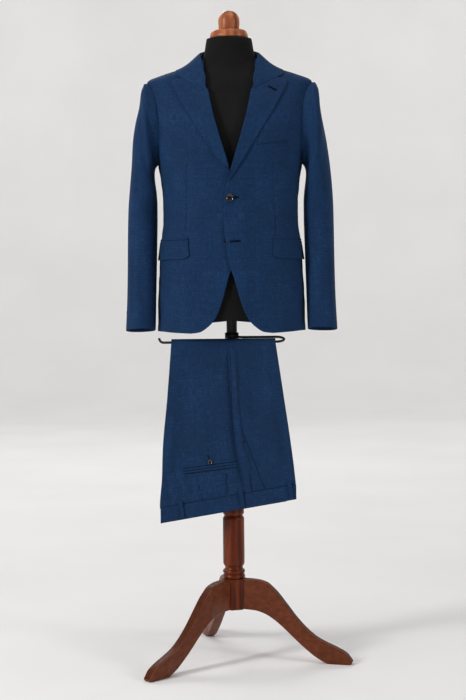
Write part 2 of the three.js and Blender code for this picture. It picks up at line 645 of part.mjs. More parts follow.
const FOLD = { drop: 395, turn: 12, up: 180 }; // the turned-up hems behind
const LAYERS = 4; // two legs of two layers each, counted from the rail outwards
const NEAR_RAIL = 0.3 + TROUSER_CLOTH / 2;
const gapAtRail = TROUSER_CLOTH + 0.5;
const gapAtWaist = 4.4;
const outermost = RAIL.y + RAIL.radius + NEAR_RAIL + (LAYERS - 1) * gapAtRail;
const TURN_Y = outermost + FOLD.turn / 4;

// Rows of the drape: part 0 is the front drop, 1 the arc over the rail, 2 the back drop, 3 the turn, 4 the turn-up.
const dropRows = [0, 0.18, 0.38, 0.58, 0.78, 0.97];
const DRAPE = [
  ...dropRows.map((f) => ({ part: 0, f })),
  ...spread(4).map((f) => ({ part: 1, f })),
  ...spread(2, 0.05, 1).map((f) => ({ part: 2, f })),
  ...spread(2, 0.33, 1).map((f) => ({ part: 3, f })),
  { part: 4, f: 1 },
];

// A point of a leg: layer counted from the rail, share u from the back crease to the front crease, a row, and n
// towards the outside of the pile.
function legAt(layer, u, row, n) {
  const off = NEAR_RAIL + layer * gapAtRail + n;
  const radius = RAIL.radius + off;
  const { part, f } = row;
  if (part === 0) {
    const x = mix(legFront.x0(RAIL.z), legFront.x1(RAIL.z), u);
    const start = bandHigh(mix(BAND.x0, BAND.x1, u)) + SEAM;
    const z = mix(start, RAIL.z, f);
    const spreadOut = (gapAtWaist - gapAtRail) * layer * smooth(1, 0, f) ** 1.2;
    const bow = legBow(u, f) * (layer === LAYERS - 1 ? 1 : 0.55);
    return point(
      mix(x, mix(legFront.x0(z), legFront.x1(z), u), 1),
      RAIL.y - radius - spreadOut - bow,
      z,
    );
  }
  if (part === 1) {
    const a = Math.PI * (1 - f);
    return point(mix(legBack.x0(0), legBack.x1(0), u), RAIL.y + radius * Math.cos(a), RAIL.z + radius * Math.sin(a));
  }
  const s = part === 2 ? FOLD.drop * f : part === 3 ? FOLD.drop + 10 * f : FOLD.drop + 10 + FOLD.up * f;
  const x = mix(legBack.x0(s), legBack.x1(s), u);
  if (part === 2) return point(x, RAIL.y + radius, RAIL.z - FOLD.drop * f);
  const turn = TURN_Y - (RAIL.y + radius) + 1;
  const a = Math.PI * (part === 3 ? f : 1);
  const rise = part === 4 ? FOLD.up * f : 0;
  return point(x, TURN_Y + 1 - turn * Math.cos(a), RAIL.z - FOLD.drop - turn * Math.sin(a) + rise);
}
// The front drop swells a little at the seat.
function legBow(u, f) {
  return 4 * Math.sin(Math.PI * u) * Math.sin(Math.PI * clamp(1 - f, 0, 1));
}

// The side seam and the inseam, as shares of the width.
const sideSeam = (row) => (row.part === 0 ? mix(0.685, 0.595, Math.sqrt(row.f)) : 0.595);
const INSEAM = 0.56;

// A panel is folded along its crease: one half lies outside its leg, the other half inside it. edge is 0 for the
// back crease and 1 for the front crease.
function panel(outerLayer, innerLayer, edge, towards) {
  const folds = [0, 0.34, 0.68, 1];
  const stations = [
    ...folds.map((f) => ({ layer: outerLayer, f })),
    { layer: (outerLayer + innerLayer) / 2, f: 1.004, turn: true },
    ...folds.map((f) => ({ layer: innerLayer, f })).reverse(),
  ];
  const at = (i, j, n) => {
    const station = stations[i];
    const row = DRAPE[j];
    const seam = station.layer === outerLayer ? sideSeam(row) : INSEAM;
    const gap = (edge ? 1 : -1) * (SEAM / 2 / 300);
    const u = mix(seam + gap, edge, Math.min(station.f, 1));
    const sign = station.layer === innerLayer ? -towards : towards;
    const made = legAt(station.layer, u, row, station.turn ? 0 : n * sign);
    if (station.turn) made.x += (edge ? 1 : -1) * (n + 1);
    return made;
  };
  const index = (n) => Array.from({ length: n }, (_, i) => i);
  return wall(index(stations.length), index(DRAPE.length), at, -TROUSER_CLOTH / 2, TROUSER_CLOTH / 2);
}
add("trouser_front_left", panel(3, 2, 1, 1), WOOL);
add("trouser_back_left", panel(3, 2, 0, 1), WOOL);
add("trouser_front_right", panel(0, 1, 1, -1), WOOL);
add("trouser_back_right", panel(0, 1, 0, -1), WOOL);

// The waistband's two halves, joined at the centre back, which is their edge towards -X.
const bandY = (layer, n) =>
  RAIL.y - RAIL.radius - NEAR_RAIL - layer * gapAtWaist - n;
const BACK_TURN = 6;
function bandAt(layer, towards, u, v, n) {
  // u runs from the centre back round the turn and then along the band to its front end
  const end = layer > 1 ? BAND.x1 - 1 : BAND.x1 - 26;
  const middle = bandY((LAYERS - 1) / 2, 0);
  const half = Math.abs(bandY(layer, 0) - middle);
  const turn = clamp(1 - u / 0.06, 0, 1) * (Math.PI / 2) * 0.98;
  const x = mix(BAND.x0 + BACK_TURN, end, clamp((u - 0.06) / 0.94, 0, 1)) - (BACK_TURN + n) * Math.sin(turn);
  const y = middle - towards * (half + n) * Math.cos(turn);
  const drop = layer > 1 ? 0 : 3;
  return point(x, y, mix(bandLow(x), bandHigh(x) - SEAM, v) - drop);
}
const bandStations = [0, 0.02, 0.04, 0.06, ...spread(6, 0.2, 1)];
add("waistband_left",
  wall(bandStations, [0, 0.5, 1], (u, v, n) => bandAt(3, 1, u, v, n), -BAND.cloth / 2, BAND.cloth / 2), WOOL);
add("waistband_right",
  wall(bandStations, [0, 0.5, 1], (u, v, n) => bandAt(0, -1, u, v, n), -BAND.cloth / 2, BAND.cloth / 2), WOOL);

// Belt loops stand off the waistband between their two sewn ends.
const LOOP = { width: 11, above: 12, stand: 2.6, cloth: 1.4 };
const LOOPS = { back: -136, side: 22, front: 150 };
for (const [name, layer, towards] of [["left", 3, 1], ["right", 0, -1]])
  for (const [place, x] of Object.entries(LOOPS)) {
    const at = (u, v, n) => {
      const xx = x - (towards < 0 ? 22 : 0) + mix(-LOOP.width / 2, LOOP.width / 2, u);
      const stand = LOOP.stand * Math.sin(Math.PI * v) ** 0.6;
      const z = mix(bandLow(xx) + 1, bandHigh(xx) + LOOP.above, v) - (towards < 0 ? 3 : 0);
      return point(xx, bandY((LAYERS - 1) / 2, 0) -
        towards * (1.5 * gapAtWaist + BAND.cloth / 2 + LAY + stand + n), z);
    };
    add(`belt_loop_${place}_${name}`, wall([0, 1], spread(6), at, 0, LOOP.cloth), WOOL);
  }

// The two jets and the button of each back pocket, on the outer layer of each leg.
const HIP = { x0: -130, x1: 13, z0: 502, z1: 520, jet: 6, gap: 0.8, cloth: 1 };
const legRowAt = (z, x) => {
  const start = bandHigh(x) + SEAM;
  return { part: 0, f: clamp((z - start) / (RAIL.z - start), 0, 1) };
};
function onLeg(layer, towards, x, z, n) {
  const u = clamp((x - legFront.x0(z)) / (legFront.x1(z) - legFront.x0(z)), 0, 1);
  const made = legAt(layer, u, legRowAt(z, mix(BAND.x0, BAND.x1, u)), towards * (TROUSER_CLOTH / 2 + n));
  return made;
}
for (const [name, layer, towards] of [["left", 3, 1], ["right", 0, -1]]) {
  for (const [place, rise] of [["upper", 1], ["lower", 0]]) {
    const at = (u, v, n) => {
      const x = mix(HIP.x0, HIP.x1, u);
      const z = mix(HIP.z0, HIP.z1, u) + rise * (HIP.jet + HIP.gap) + HIP.jet * v;
      return onLeg(layer, towards, x, z, n);
    };
    add(`hip_jet_${place}_${name}`, wall(spread(6), [0, 1], at, LAY, LAY + HIP.cloth), WOOL);
  }
  const spot = { x: -60, z: 532.5 };
  button(`hip_button_${name}`, onLeg(layer, towards, spot.x, spot.z, SEAM), onLeg(layer, towards, spot.x, spot.z, 9),
    7.5, 3);
}

// ---------- dress form ----------
const FORM_BASE = 905;
const NECK_TOP = 1651;
const AROUND = spread(40, 0, 360).slice(0, -1);
const formInset = (z) => mix(9, FORM_GAP, smooth(1400, 1530, z));
const formRing = (t) =>
  AROUND.map((angle) => {
    const a = angle > 180 ? angle - 360 : angle;
    const z = onBody(a, t).z;
    return offBody(a, t, -CLOTH - formInset(z));
  });
// The neck rises inside the collar stand.
const NECK_RINGS = [
  { z: 0.02, half: 70, front: 51, back: 54 },
  { z: 0.3, half: 66, front: 51, back: 53 },
  { z: 0.6, half: 63.5, front: 52, back: 53 },
  { z: 0.9, half: 61, front: 53, back: 54 },
  { z: 0.98, half: 60, front: 52, back: 53 },
  { z: 1, half: 56, front: 49, back: 50 },
];
const neckRing = (row) =>
  AROUND.map((angle) => {
    const a = angle * rad;
    const c = Math.cos(a);
    const base = onBody(angle > 180 ? angle - 360 : angle, NECK).z;
    return point(row.half * Math.sin(a), -(c > 0 ? row.front : row.back) * c, mix(base, NECK_TOP, row.z));
  });
const formRows = [ringAt(90, FORM_BASE), 1, 2, 3, 4, 5, 6, 7, 8, 8.6, 9.3, 10, 10.5, 10.8, 11, 11.15, 11.35, 11.65, 12,
  12.5, 13, 13.5, 14, 14.5];
add("form_body", loft([...formRows.map(formRing), ...NECK_RINGS.map(neckRing)]), FORM_CLOTH);

// ---------- stand ----------
const CAP = { foot: NECK_TOP + SEAM, height: 21, radius: 51, top: 46 };
add("neck_cap", turned([[0, CAP.foot], [CAP.radius - 1, CAP.foot], [CAP.radius, CAP.foot + 3],
  [CAP.radius - 1.5, CAP.foot + 12], [CAP.top, CAP.foot + CAP.height - 1.5], [CAP.top - 3, CAP.foot + CAP.height],
  [0, CAP.foot + CAP.height]], 40), WOOD);
const KNOB = { foot: CAP.foot + CAP.height + SEAM, radius: 28.5, height: 54 };
const dome = spread(6, 0.12, 1).map((f) => [
  KNOB.radius * Math.cos((f * Math.PI) / 2),
  KNOB.foot + 26 + (KNOB.height - 26) * Math.sin((f * Math.PI) / 2),
]);
dome[dome.length - 1][0] = 0;
add("neck_knob", turned([[0, KNOB.foot], [27, KNOB.foot], [27.6, KNOB.foot + 8], [KNOB.radius, KNOB.foot + 20],
  ...dome], 36), WOOD);

const COLUMN = [
  [0, 214.3], [25.5, 214.3], [28.6, 217], [29.5, 220.5], [28.6, 224], [26.5, 226.5], [28.6, 229], [29.5, 232.5],
  [28.6, 236], [25, 239], [23.5, 243], [24.5, 247], [27, 250.5], [28.5, 256], [28.6, 315], [28.5, 370],
  [27.4, 376], [25, 379.5], [23.5, 381.5], [26.5, 384], [28.2, 390], [27.8, 398], [24.5, 408], [19, 415],
  [17, 422], [0, 422],
];
add("column", turned(COLUMN, 32), WOOD);
add("pole", turned([[0, 422.3], [POLE, 422.3], [POLE, FORM_BASE - SEAM], [0, FORM_BASE - SEAM]], 24), RAIL_STEEL);

// The hub is six-sided: legs on three faces, the others left bare.
const LEG_ANGLES = { rear: 106, left: 226, right: 346 };
const HUB = { apothem: 28, low: 133, high: 214 };
const hub = new THREE.CylinderGeometry(HUB.apothem / Math.cos(30 * rad), HUB.apothem / Math.cos(30 * rad),
  HUB.high - HUB.low, 6).rotateX(Math.PI / 2).rotateZ(LEG_ANGLES.rear * rad);
hub.translate(0, 0, (HUB.high + HUB.low) / 2);
add("hub", hub, WOOD);

const LEG = { thick: 26, start: HUB.apothem + SEAM };
const LEG_TOP = [[LEG.start, 213.6], [60, 212], [86, 206], [113, 185], [143, 149], [170, 115], [197, 87], [224, 66],
  [250, 53], [276, 41], [302, 23], [320, 3]];
const LEG_UNDER = [[318, 0], [256, 0], [246, 3.5], [224, 15], [197, 35], [170, 58], [143, 83], [113, 108], [86, 124],
  [58, 132], [LEG.start, 134]];
for (const [name, angle] of Object.entries(LEG_ANGLES)) {
  const shape = new THREE.Shape();
  const run = (points) => shape.splineThru(points.map(([r, z]) => new THREE.Vector2(r, z)));
  shape.moveTo(...LEG_TOP[0]);
  run(LEG_TOP.slice(1));
  shape.lineTo(...LEG_UNDER[0]);
  shape.lineTo(...LEG_UNDER[1]);
  run(LEG_UNDER.slice(2));
  const leg = new THREE.ExtrudeGeometry(shape, { depth: LEG.thick, bevelEnabled: false, curveSegments: 3, steps: 1 });
  leg.translate(0, 0, -LEG.thick / 2).rotateX(Math.PI / 2);
  const mesh = add(`leg_${name}`, leg, WOOD);
  mesh.rotation.z = angle * rad;
}

// ---------- trouser rail ----------
// A collar on the pole, an arm to the wearer's left, a bend, and the rail itself back across the front to a hook.
const ARM_Y = -18;
const railLine = [
  point(10, -13, RAIL.armZ + 1), point(30, ARM_Y, RAIL.armZ), point(RAIL.right, ARM_Y, RAIL.armZ),
  ...spread(7, 0.125, 0.875).map((f) => {
    const a = Math.PI * (0.5 - f);
    return point(RAIL.right + RAIL.bend * Math.cos(a), mix(ARM_Y, RAIL.y, (1 - Math.sin(a)) / 2),
      mix(RAIL.armZ, RAIL.z, smooth(0, 1, f)));
  }),
  point(RAIL.right, RAIL.y, RAIL.z), point(60, RAIL.y, RAIL.z), point(-60, RAIL.y, RAIL.z),
  point(RAIL.left + 4, RAIL.y, RAIL.z), point(RAIL.left - 1, RAIL.y, RAIL.z + 1.5),
  point(RAIL.left - 5, RAIL.y, RAIL.z + 5), point(RAIL.left - 7, RAIL.y, RAIL.z + 12),
];
// A round rod along a line of points.
function rodAlong(line, radius, sides) {
  const up = point(0, 0, 1);
  return loft(line.map((at, i) => {
    const to = line[Math.min(i + 1, line.length - 1)].clone().sub(at);
    const from = at.clone().sub(line[Math.max(i - 1, 0)]);
    const way = to.normalize().add(from.normalize()).normalize();
    const aside = way.clone().cross(up).normalize();
    const over = aside.clone().cross(way);
    const wide = aside.multiplyScalar(radius);
    over.multiplyScalar(radius);
    return spread(sides, 0, 2 * Math.PI).slice(0, -1)
      .map((a) => at.clone().addScaledVector(wide, Math.cos(a)).addScaledVector(over, Math.sin(a)));
  }));
}
const rod = rodAlong(railLine, RAIL.radius, 12);
const COLLAR_RING = { inner: POLE + SEAM, outer: POLE + 4.5, low: 847, high: 868 };
const collarRing = new THREE.LatheGeometry([
  [COLLAR_RING.inner, COLLAR_RING.low], [COLLAR_RING.outer, COLLAR_RING.low],
  [COLLAR_RING.outer, COLLAR_RING.high], [COLLAR_RING.inner, COLLAR_RING.high], [COLLAR_RING.inner, COLLAR_RING.low],
].map(([r, z]) => new THREE.Vector2(r, z)), 24).rotateX(Math.PI / 2);
function solid(geometry) {
  const bare = (geometry.index ? geometry.toNonIndexed() : geometry.clone());
  bare.deleteAttribute("normal");
  bare.deleteAttribute("uv");
  const merged = mergeVertices(bare, 1e-4);
  return new wasm.Manifold(new wasm.Mesh({
    numProp: 3,
    vertProperties: merged.attributes.position.array,
    triVerts: new Uint32Array(merged.index.array),
  }));
}
function joined(a, b, hole) {
  const made = a.subtract(hole).add(b).getMesh();
  return new THREE.BufferGeometry()
    .setAttribute("position", new THREE.BufferAttribute(made.vertProperties, 3))
    .setIndex(new THREE.BufferAttribute(made.triVerts, 1));
}
const poleRoom = turned([[0, 800], [COLLAR_RING.inner, 800], [COLLAR_RING.inner, 900], [0, 900]], 24);
add("trouser_rail", joined(solid(rod), solid(collarRing), solid(poleRoom)), RAIL_STEEL);

// ---------- the object's own frame ----------
root.updateMatrixWorld(true);
const bounds = new THREE.Box3();
root.traverse((o) => {
  if (o.isMesh) bounds.union(new THREE.Box3().setFromObject(o, true));
});
const centre = bounds.getCenter(point(0, 0, 0));
const part = new THREE.Group();
root.position.set(-centre.x, -centre.y, -bounds.min.z);
part.add(root);

export default part;
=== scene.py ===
# The two-piece suit on its form: every cloth piece as a fine thin shell on its solid's own shape, with the creases,
# seams, buttons and stand drawn in full. Lengths are millimetres round the stand's axis until placed() turns them
# into the frame's metres.
import json
from math import pi, radians

import bpy
import numpy as np
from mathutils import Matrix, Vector

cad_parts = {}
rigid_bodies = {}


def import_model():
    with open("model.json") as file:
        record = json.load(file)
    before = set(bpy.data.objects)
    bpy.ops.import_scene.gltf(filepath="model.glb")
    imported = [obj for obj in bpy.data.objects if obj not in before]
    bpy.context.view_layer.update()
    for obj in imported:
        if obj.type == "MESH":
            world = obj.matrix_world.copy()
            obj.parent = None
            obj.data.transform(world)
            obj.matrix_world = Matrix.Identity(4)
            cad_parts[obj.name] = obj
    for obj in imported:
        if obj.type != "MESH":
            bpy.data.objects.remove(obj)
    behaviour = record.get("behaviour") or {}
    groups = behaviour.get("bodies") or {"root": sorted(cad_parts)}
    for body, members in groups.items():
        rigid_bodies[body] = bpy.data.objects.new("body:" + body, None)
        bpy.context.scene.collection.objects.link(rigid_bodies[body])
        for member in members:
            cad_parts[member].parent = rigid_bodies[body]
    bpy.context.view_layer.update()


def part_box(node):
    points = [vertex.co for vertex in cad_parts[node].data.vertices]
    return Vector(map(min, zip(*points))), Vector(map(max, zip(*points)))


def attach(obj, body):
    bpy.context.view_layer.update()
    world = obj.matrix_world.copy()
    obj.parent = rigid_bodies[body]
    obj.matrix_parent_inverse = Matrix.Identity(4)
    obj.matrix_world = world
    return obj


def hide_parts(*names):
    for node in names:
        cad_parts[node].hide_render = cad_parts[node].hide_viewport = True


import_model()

LEFT, RIGHT = 1, -1
SIDE = {LEFT: "left", RIGHT: "right"}
pole_low, pole_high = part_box("pole")
AXIS = np.array([(pole_low.x + pole_high.x) / 2, (pole_low.y + pole_high.y) / 2, 0.0])


def placed(p):
    return np.asarray(p) / 1000 + AXIS


# ---------- camera ----------
# x and y from the axis, height, how far the level lens looks down and its focal length as shares of the picture's
# height, and roll in degrees
VIEW = dict(x=0.0045, y=-3.88, z=1.0, drop=0.0957, roll=0.54, focal=2.078, height=36.0)
camera = bpy.data.objects.new("camera", bpy.data.cameras.new("camera"))
bpy.context.scene.collection.objects.link(camera)
camera.data.sensor_fit = "VERTICAL"
camera.data.sensor_height = VIEW["height"]
camera.data.lens = VIEW["focal"] * VIEW["height"]
camera.location = (AXIS[0] + VIEW["x"], AXIS[1] + VIEW["y"], VIEW["z"])
camera.rotation_euler = (radians(90), radians(VIEW["roll"]), 0)
camera.data.shift_y = -VIEW["drop"]
bpy.context.scene.camera = camera


# ---------- maths ----------
def mix(a, b, f):
    return a + (b - a) * f


def smooth(low, high, x):
    f = np.clip((np.asarray(x, float) - low) / (high - low), 0, 1)
    return f * f * (3 - 2 * f)


def through(xs, ys):
    """A smooth curve through the points that never overshoots them."""
    xs, ys = np.array(xs, float), np.array(ys, float)
    slope = np.diff(ys) / np.diff(xs)
    at_point = np.empty_like(ys)
    at_point[0], at_point[-1] = slope[0], slope[-1]
    a, b = slope[:-1], slope[1:]
    total = np.where(a * b > 0, a + b, 1)
    at_point[1:-1] = np.where(a * b > 0, 2 * a * b / total, 0)

    def curve(x):
        x = np.asarray(x, float)
        i = np.clip(np.searchsorted(xs, x) - 1, 0, len(xs) - 2)
        h = xs[i + 1] - xs[i]
        f = np.clip((x - xs[i]) / h, 0, 1)
        ends = (1 + 2 * f) * (1 - f) ** 2 * ys[i] + f * f * (3 - 2 * f) * ys[i + 1]
        return ends + h * (f * (1 - f) ** 2 * at_point[i] + f * f * (f - 1) * at_point[i + 1])

    return curve


def columns(names, rows, over=None):
    """One smooth curve for each named column, over the row number or over the named column."""
    names = names.split()
    table = np.array(rows, float)
    xs = table[:, names.index(over)] if over else np.arange(len(rows))
    return {name: through(xs, table[:, i]) for i, name in enumerate(names)}


def solve(f, value, low, high, steps=18):
    low = np.full(np.shape(value), float(low))
    high = np.full(np.shape(value), float(high))
    for _ in range(steps):
        mid = (low + high) / 2
        below = f(mid) < value
        low, high = np.where(below, mid, low), np.where(below, high, mid)
    return (low + high) / 2


def xyz(x, y, z):
    return np.stack(np.broadcast_arrays(x, y, z), -1).astype(float)


def unit(v):
    return v / np.maximum(np.linalg.norm(v, axis=-1, keepdims=True), 1e-9)


def noise1(seed, x, period):
    """A soft random wave along x, the same on every run."""
    rng = np.random.default_rng(seed)
    waves = rng.uniform(0, 2 * pi, 4)
    return sum(np.sin(2 * pi * x / period * k + waves[k - 1]) / k for k in (1, 2, 3, 4)) / 2


# ---------- the jacket's own shape, ring by ring, as in its solid ----------
BODY_ROWS = [
    # half front back zFront zSide zBack box
    (197.5, 124, 131, 860, 860, 860, 0.03),
    (195, 123, 131, 950, 950, 950, 0.03),
    (191.5, 120, 125, 1035, 1035, 1035, 0.03),
    (187, 117, 116, 1098, 1098, 1098, 0.03),
    (180.5, 115, 108, 1160, 1160, 1160, 0.03),
    (179, 115, 105, 1208, 1208, 1208, 0.03),
    (183, 118, 107, 1257, 1257, 1257, 0.03),
    (193, 123, 113, 1320, 1320, 1320, 0.03),
    (200, 121, 117, 1385, 1385, 1385, 0.03),
    (208, 108, 115, 1440, 1440, 1440, 0.025),
    (214, 90, 106, 1478, 1500, 1492, 0.015),
    (218, 76, 93, 1505, 1534, 1535, 0),
    (177, 70, 86, 1522, 1554, 1560, 0),
    (137, 65, 78, 1537, 1567, 1581, 0),
    (108, 61, 70, 1549, 1580, 1598, 0),
    (79, 58, 62, 1561, 1600, 1614, 0),
]
body = columns("half front back zFront zSide zBack box", BODY_ROWS)
SHOULDER, NECK = 11, len(BODY_ROWS) - 1


def across(a, box):
    return (np.sin(a) + box * np.sin(3 * a)) / (1 - box)


def along(a, box):
    return (np.cos(a) - box * np.cos(3 * a)) / (1 - box)


def on_body(angle, t):
    a = np.radians(angle)
    box = body["box"](t)
    c = along(a, box)
    depth = np.where(c > 0, -body["front"](t) * c, -body["back"](t) * c)
    end = np.where(c > 0, body["zFront"](t), body["zBack"](t))
    return xyz(body["half"](t) * across(a, box), depth, mix(body["zSide"](t), end, np.cos(a) ** 2))


def off_body(angle, t, n):
    t0 = np.clip(t, 0.02, NECK - 0.02)
    da = on_body(angle + 0.5, t0) - on_body(angle - 0.5, t0)
    dt = on_body(angle, t0 + 0.02) - on_body(angle, t0 - 0.02)
    return on_body(angle, t) + unit(np.cross(da, dt)) * np.asarray(n)[..., None]


def ring_at(angle, z):
    angle, z = np.broadcast_arrays(np.asarray(angle, float), np.asarray(z, float))
    return solve(lambda t: on_body(angle, t)[..., 2], z, 0, NECK)


def on_front(x, z):
    """Angle and ring number of the front's point at x, z in front view."""
    x, z = np.broadcast_arrays(np.asarray(x, float), np.asarray(z, float))
    t = ring_at(0 * x, z)
    for _ in range(8):
        box = body["box"](t)
        share = np.clip(np.abs(x) / body["half"](t), 0, 0.9999)
        angle = np.sign(x) * solve(lambda q: across(np.radians(q), box), share, 0, 90)
        t = mix(t, ring_at(angle, z), 0.65)
    return angle, t


HOLE = dict(middle=1426, half=108, front=66, back=70, egg=0.3)


def armhole_z(phi):
    return HOLE["middle"] + HOLE["half"] * np.cos(np.radians(phi))


def armhole(phi):
    p = np.radians(phi)
    reach = np.where(np.sin(p) > 0, HOLE["front"], HOLE["back"])
    y = -reach * np.sin(p) * (1 - HOLE["egg"] * (1 + np.cos(p)) / 2)
    z = armhole_z(phi)
    t = np.full(np.shape(phi), float(SHOULDER))
    angle = t * 0 + 90
    for _ in range(9):
        box = body["box"](t)
        depth = np.where(y < 0, body["front"](t), body["back"](t))
        share = np.clip(y / depth, -0.99, 0.99)
        angle = solve(lambda q: -along(np.radians(q), box), share, 0, 180)
        t = np.minimum(ring_at(angle, z), SHOULDER)
    return angle, t


def front_seam(z):
    return mix(62, 71, smooth(1150, 1330, z))


def back_seam(z):
    return mix(116, 110, smooth(1100, 1330, z))


def seam_end(seam, low, high):
    phi = np.linspace(low, high, 400)
    gap = armhole(phi)[0] - seam(armhole_z(phi))
    i = int(np.argmin(np.abs(gap)))
    return float(phi[i]), float(armhole_z(phi[i]))


FRONT_END = seam_end(front_seam, 90, 180)
BACK_END = seam_end(back_seam, 180, 250)
LAP = dict(edge=26, flat=66, fastened=1190, open=1130, lift=0.8, open_lift=4.6)
CLOTH = 2.0


def lap_lift(side, x, z):
    """How far the left front stands out where it laps over the right one."""
    if side != LEFT:
        return 0 * x
    lift = mix(LAP["open_lift"], LAP["lift"], smooth(LAP["open"], LAP["fastened"], z)) + CLOTH
    return lift * (1 - smooth(LAP["edge"], LAP["flat"], x)) * (1 - smooth(1292, 1340, z))


# ---------- creases ----------
def creases(rows, x, z):
    """Soft ridges (height > 0) and troughs along short curves: x0 z0 x1 z1, bow, width, height."""
    total = 0 * x
    for x0, z0, x1, z1, bow, width, height in rows:
        dx, dz = x1 - x0, z1 - z0
        long = (dx * dx + dz * dz) ** 0.5
        s = ((x - x0) * dx + (z - z0) * dz) / long**2
        aside = ((x - x0) * -dz + (z - z0) * dx) / long - bow * 4 * np.clip(s, 0, 1) * (1 - np.clip(s, 0, 1))
        fade = smooth(-0.12, 0.25, s) * (1 - smooth(0.7, 1.12, s))
        total = total + height * fade * np.exp(-((aside / width) ** 2))
    return total


# ---------- meshes ----------
def new_object(name, verts, faces, material, uvs=None, sharp=None):
    mesh = bpy.data.meshes.new(name)
    verts = placed(verts)
    mesh.vertices.add(len(verts))
    mesh.vertices.foreach_set("co", verts.ravel())
    sizes = np.array([len(f) for f in faces]) if not isinstance(faces, np.ndarray) else np.full(len(faces), faces.shape[1])
    flat = np.concatenate([np.asarray(f) for f in faces]) if not isinstance(faces, np.ndarray) else faces.ravel()
    mesh.loops.add(len(flat))
    mesh.loops.foreach_set("vertex_index", flat.astype(np.int32))
    mesh.polygons.add(len(sizes))
    starts = np.concatenate([[0], np.cumsum(sizes)[:-1]])
    mesh.polygons.foreach_set("loop_start", starts.astype(np.int32))
    mesh.polygons.foreach_set("use_smooth", np.ones(len(sizes), bool))
    if uvs is not None:
        layer = mesh.uv_layers.new(name="cloth")
        layer.data.foreach_set("uv", uvs[flat].ravel())
    mesh.update(calc_edges=True)
    mesh.validate()
    if sharp:
        mesh.set_sharp_from_angle(angle=radians(sharp))
    mesh.materials.append(material)
    obj = bpy.data.objects.new(name, mesh)
    bpy.context.scene.collection.objects.link(obj)
    return obj


def grid_faces(nu, nv, start=0, flip=False):
    i, j = np.meshgrid(np.arange(nu - 1), np.arange(nv - 1))
    a = start + j * nu + i
    quads = np.stack([a, a + 1, a + nu + 1, a + nu], -1).reshape(-1, 4)
    return quads[:, ::-1] if flip else quads


CUT = {}


def shell(name, us, vs, at, low, high, material, soften=0.32, flip=False, grain=None):
    """A wall of cloth from at(U, V, n): two layers and a turned edge, its borders softened."""
    us, vs = np.asarray(us, float), np.asarray(vs, float)
    U, V = np.meshgrid(us, vs)
    nu, nv = len(us), len(vs)
    border = np.zeros_like(U)
    border[0], border[-1], border[:, 0], border[:, -1] = 1, 1, 1, 1
    thick = high - low
    outer = at(U, V, high - border * soften * thick)
    inner = at(U, V, low + border * soften * thick)
    verts = np.concatenate([outer.reshape(-1, 3), inner.reshape(-1, 3)])
    ring = np.concatenate([
        np.arange(nu), np.arange(1, nv) * nu + nu - 1, (nv - 1) * nu + np.arange(nu - 2, -1, -1),
        np.arange(nv - 2, 0, -1) * nu,
    ])
    nxt = np.roll(ring, -1)
    rim = np.stack([ring, ring + nu * nv, nxt + nu * nv, nxt], -1)
    faces = np.concatenate([grid_faces(nu, nv), grid_faces(nu, nv, nu * nv, True), rim])
    if flip:
        faces = faces[:, ::-1]
    if grain is not None:
        uv = grain(U, V)
    else:
        step_u = np.linalg.norm(np.diff(outer, axis=1, prepend=outer[:, :1]), axis=-1)
        step_v = np.linalg.norm(np.diff(outer, axis=0, prepend=outer[:1]), axis=-1)
        middle = nv // 2
        uv = np.stack([np.cumsum(step_u, 1)[middle] + 0 * U, np.cumsum(step_v, 0)[:, [nu // 2]] + 0 * U], -1)
    uv = np.concatenate([uv.reshape(-1, 2)] * 2) / 1000
    CUT[name] = (
        np.linalg.norm(np.diff(outer, axis=1), axis=-1).sum(1).max() / 1000,
        np.linalg.norm(np.diff(outer, axis=0), axis=-1).sum(0).max() / 1000,
    )
    return new_object(name, verts, faces.astype(np.int64), material, uv, sharp=75)


def lathe(name, profile, material, sides=72, sharp=50):
    """A turned piece round the axis from (radius, height) rows."""
    r, z = np.array(profile, float).T
    a = np.linspace(0, 2 * pi, sides, endpoint=False)
    verts = xyz(r[:, None] * np.cos(a), r[:, None] * np.sin(a), z[:, None] + 0 * a).reshape(-1, 3)
    faces = []
    for j in range(len(r) - 1):
        for i in range(sides):
            k = (i + 1) % sides
            faces.append((j * sides + i, j * sides + k, (j + 1) * sides + k, (j + 1) * sides + i))
    faces.append(tuple(range(sides))[::-1])
    faces.append(tuple((len(r) - 1) * sides + i for i in range(sides)))
    return new_object(name, verts, faces, material, sharp=sharp)


def tube(line, radius, sides=12, closed=False):
    """Vertices and faces of a round rod along a line of points; radius may vary along it."""
    line = np.asarray(line, float)
    n = len(line)
    if closed:
        way = unit(np.roll(line, -1, 0) - np.roll(line, 1, 0))
    else:
        way = unit(np.gradient(line, axis=0))
    side = np.zeros_like(line)
    ref = np.array([0, 0, 1.0]) if abs(way[0][2]) < 0.9 else np.array([1.0, 0, 0])
    s = unit(np.cross(way[0], ref))
    for i in range(n):
        s = unit(s - way[i] * np.dot(s, way[i]))
        side[i] = s
    over = np.cross(side, way)
    a = np.linspace(0, 2 * pi, sides, endpoint=False)
    r = np.broadcast_to(np.asarray(radius, float), (n,))[:, None, None]
    rings = line[:, None] + r * (side[:, None] * np.cos(a)[None, :, None] + over[:, None] * np.sin(a)[None, :, None])
    faces = []
    for j in range(n if closed else n - 1):
        m = (j + 1) % n
        for i in range(sides):
            k = (i + 1) % sides
            faces.append((j * sides + i, m * sides + i, m * sides + k, j * sides + k))
    if not closed:
        faces.append(tuple(range(sides)))
        faces.append(tuple((n - 1) * sides + i for i in range(sides))[::-1])
    return rings.reshape(-1, 3), faces


def joined(parts):
    """One mesh from several (verts, faces)."""
    verts, faces, start = [], [], 0
    for v, f in parts:
        verts.append(v)
        faces += [tuple(int(i) + start for i in face) for face in f]
        start += len(v)
    return np.concatenate(verts), faces


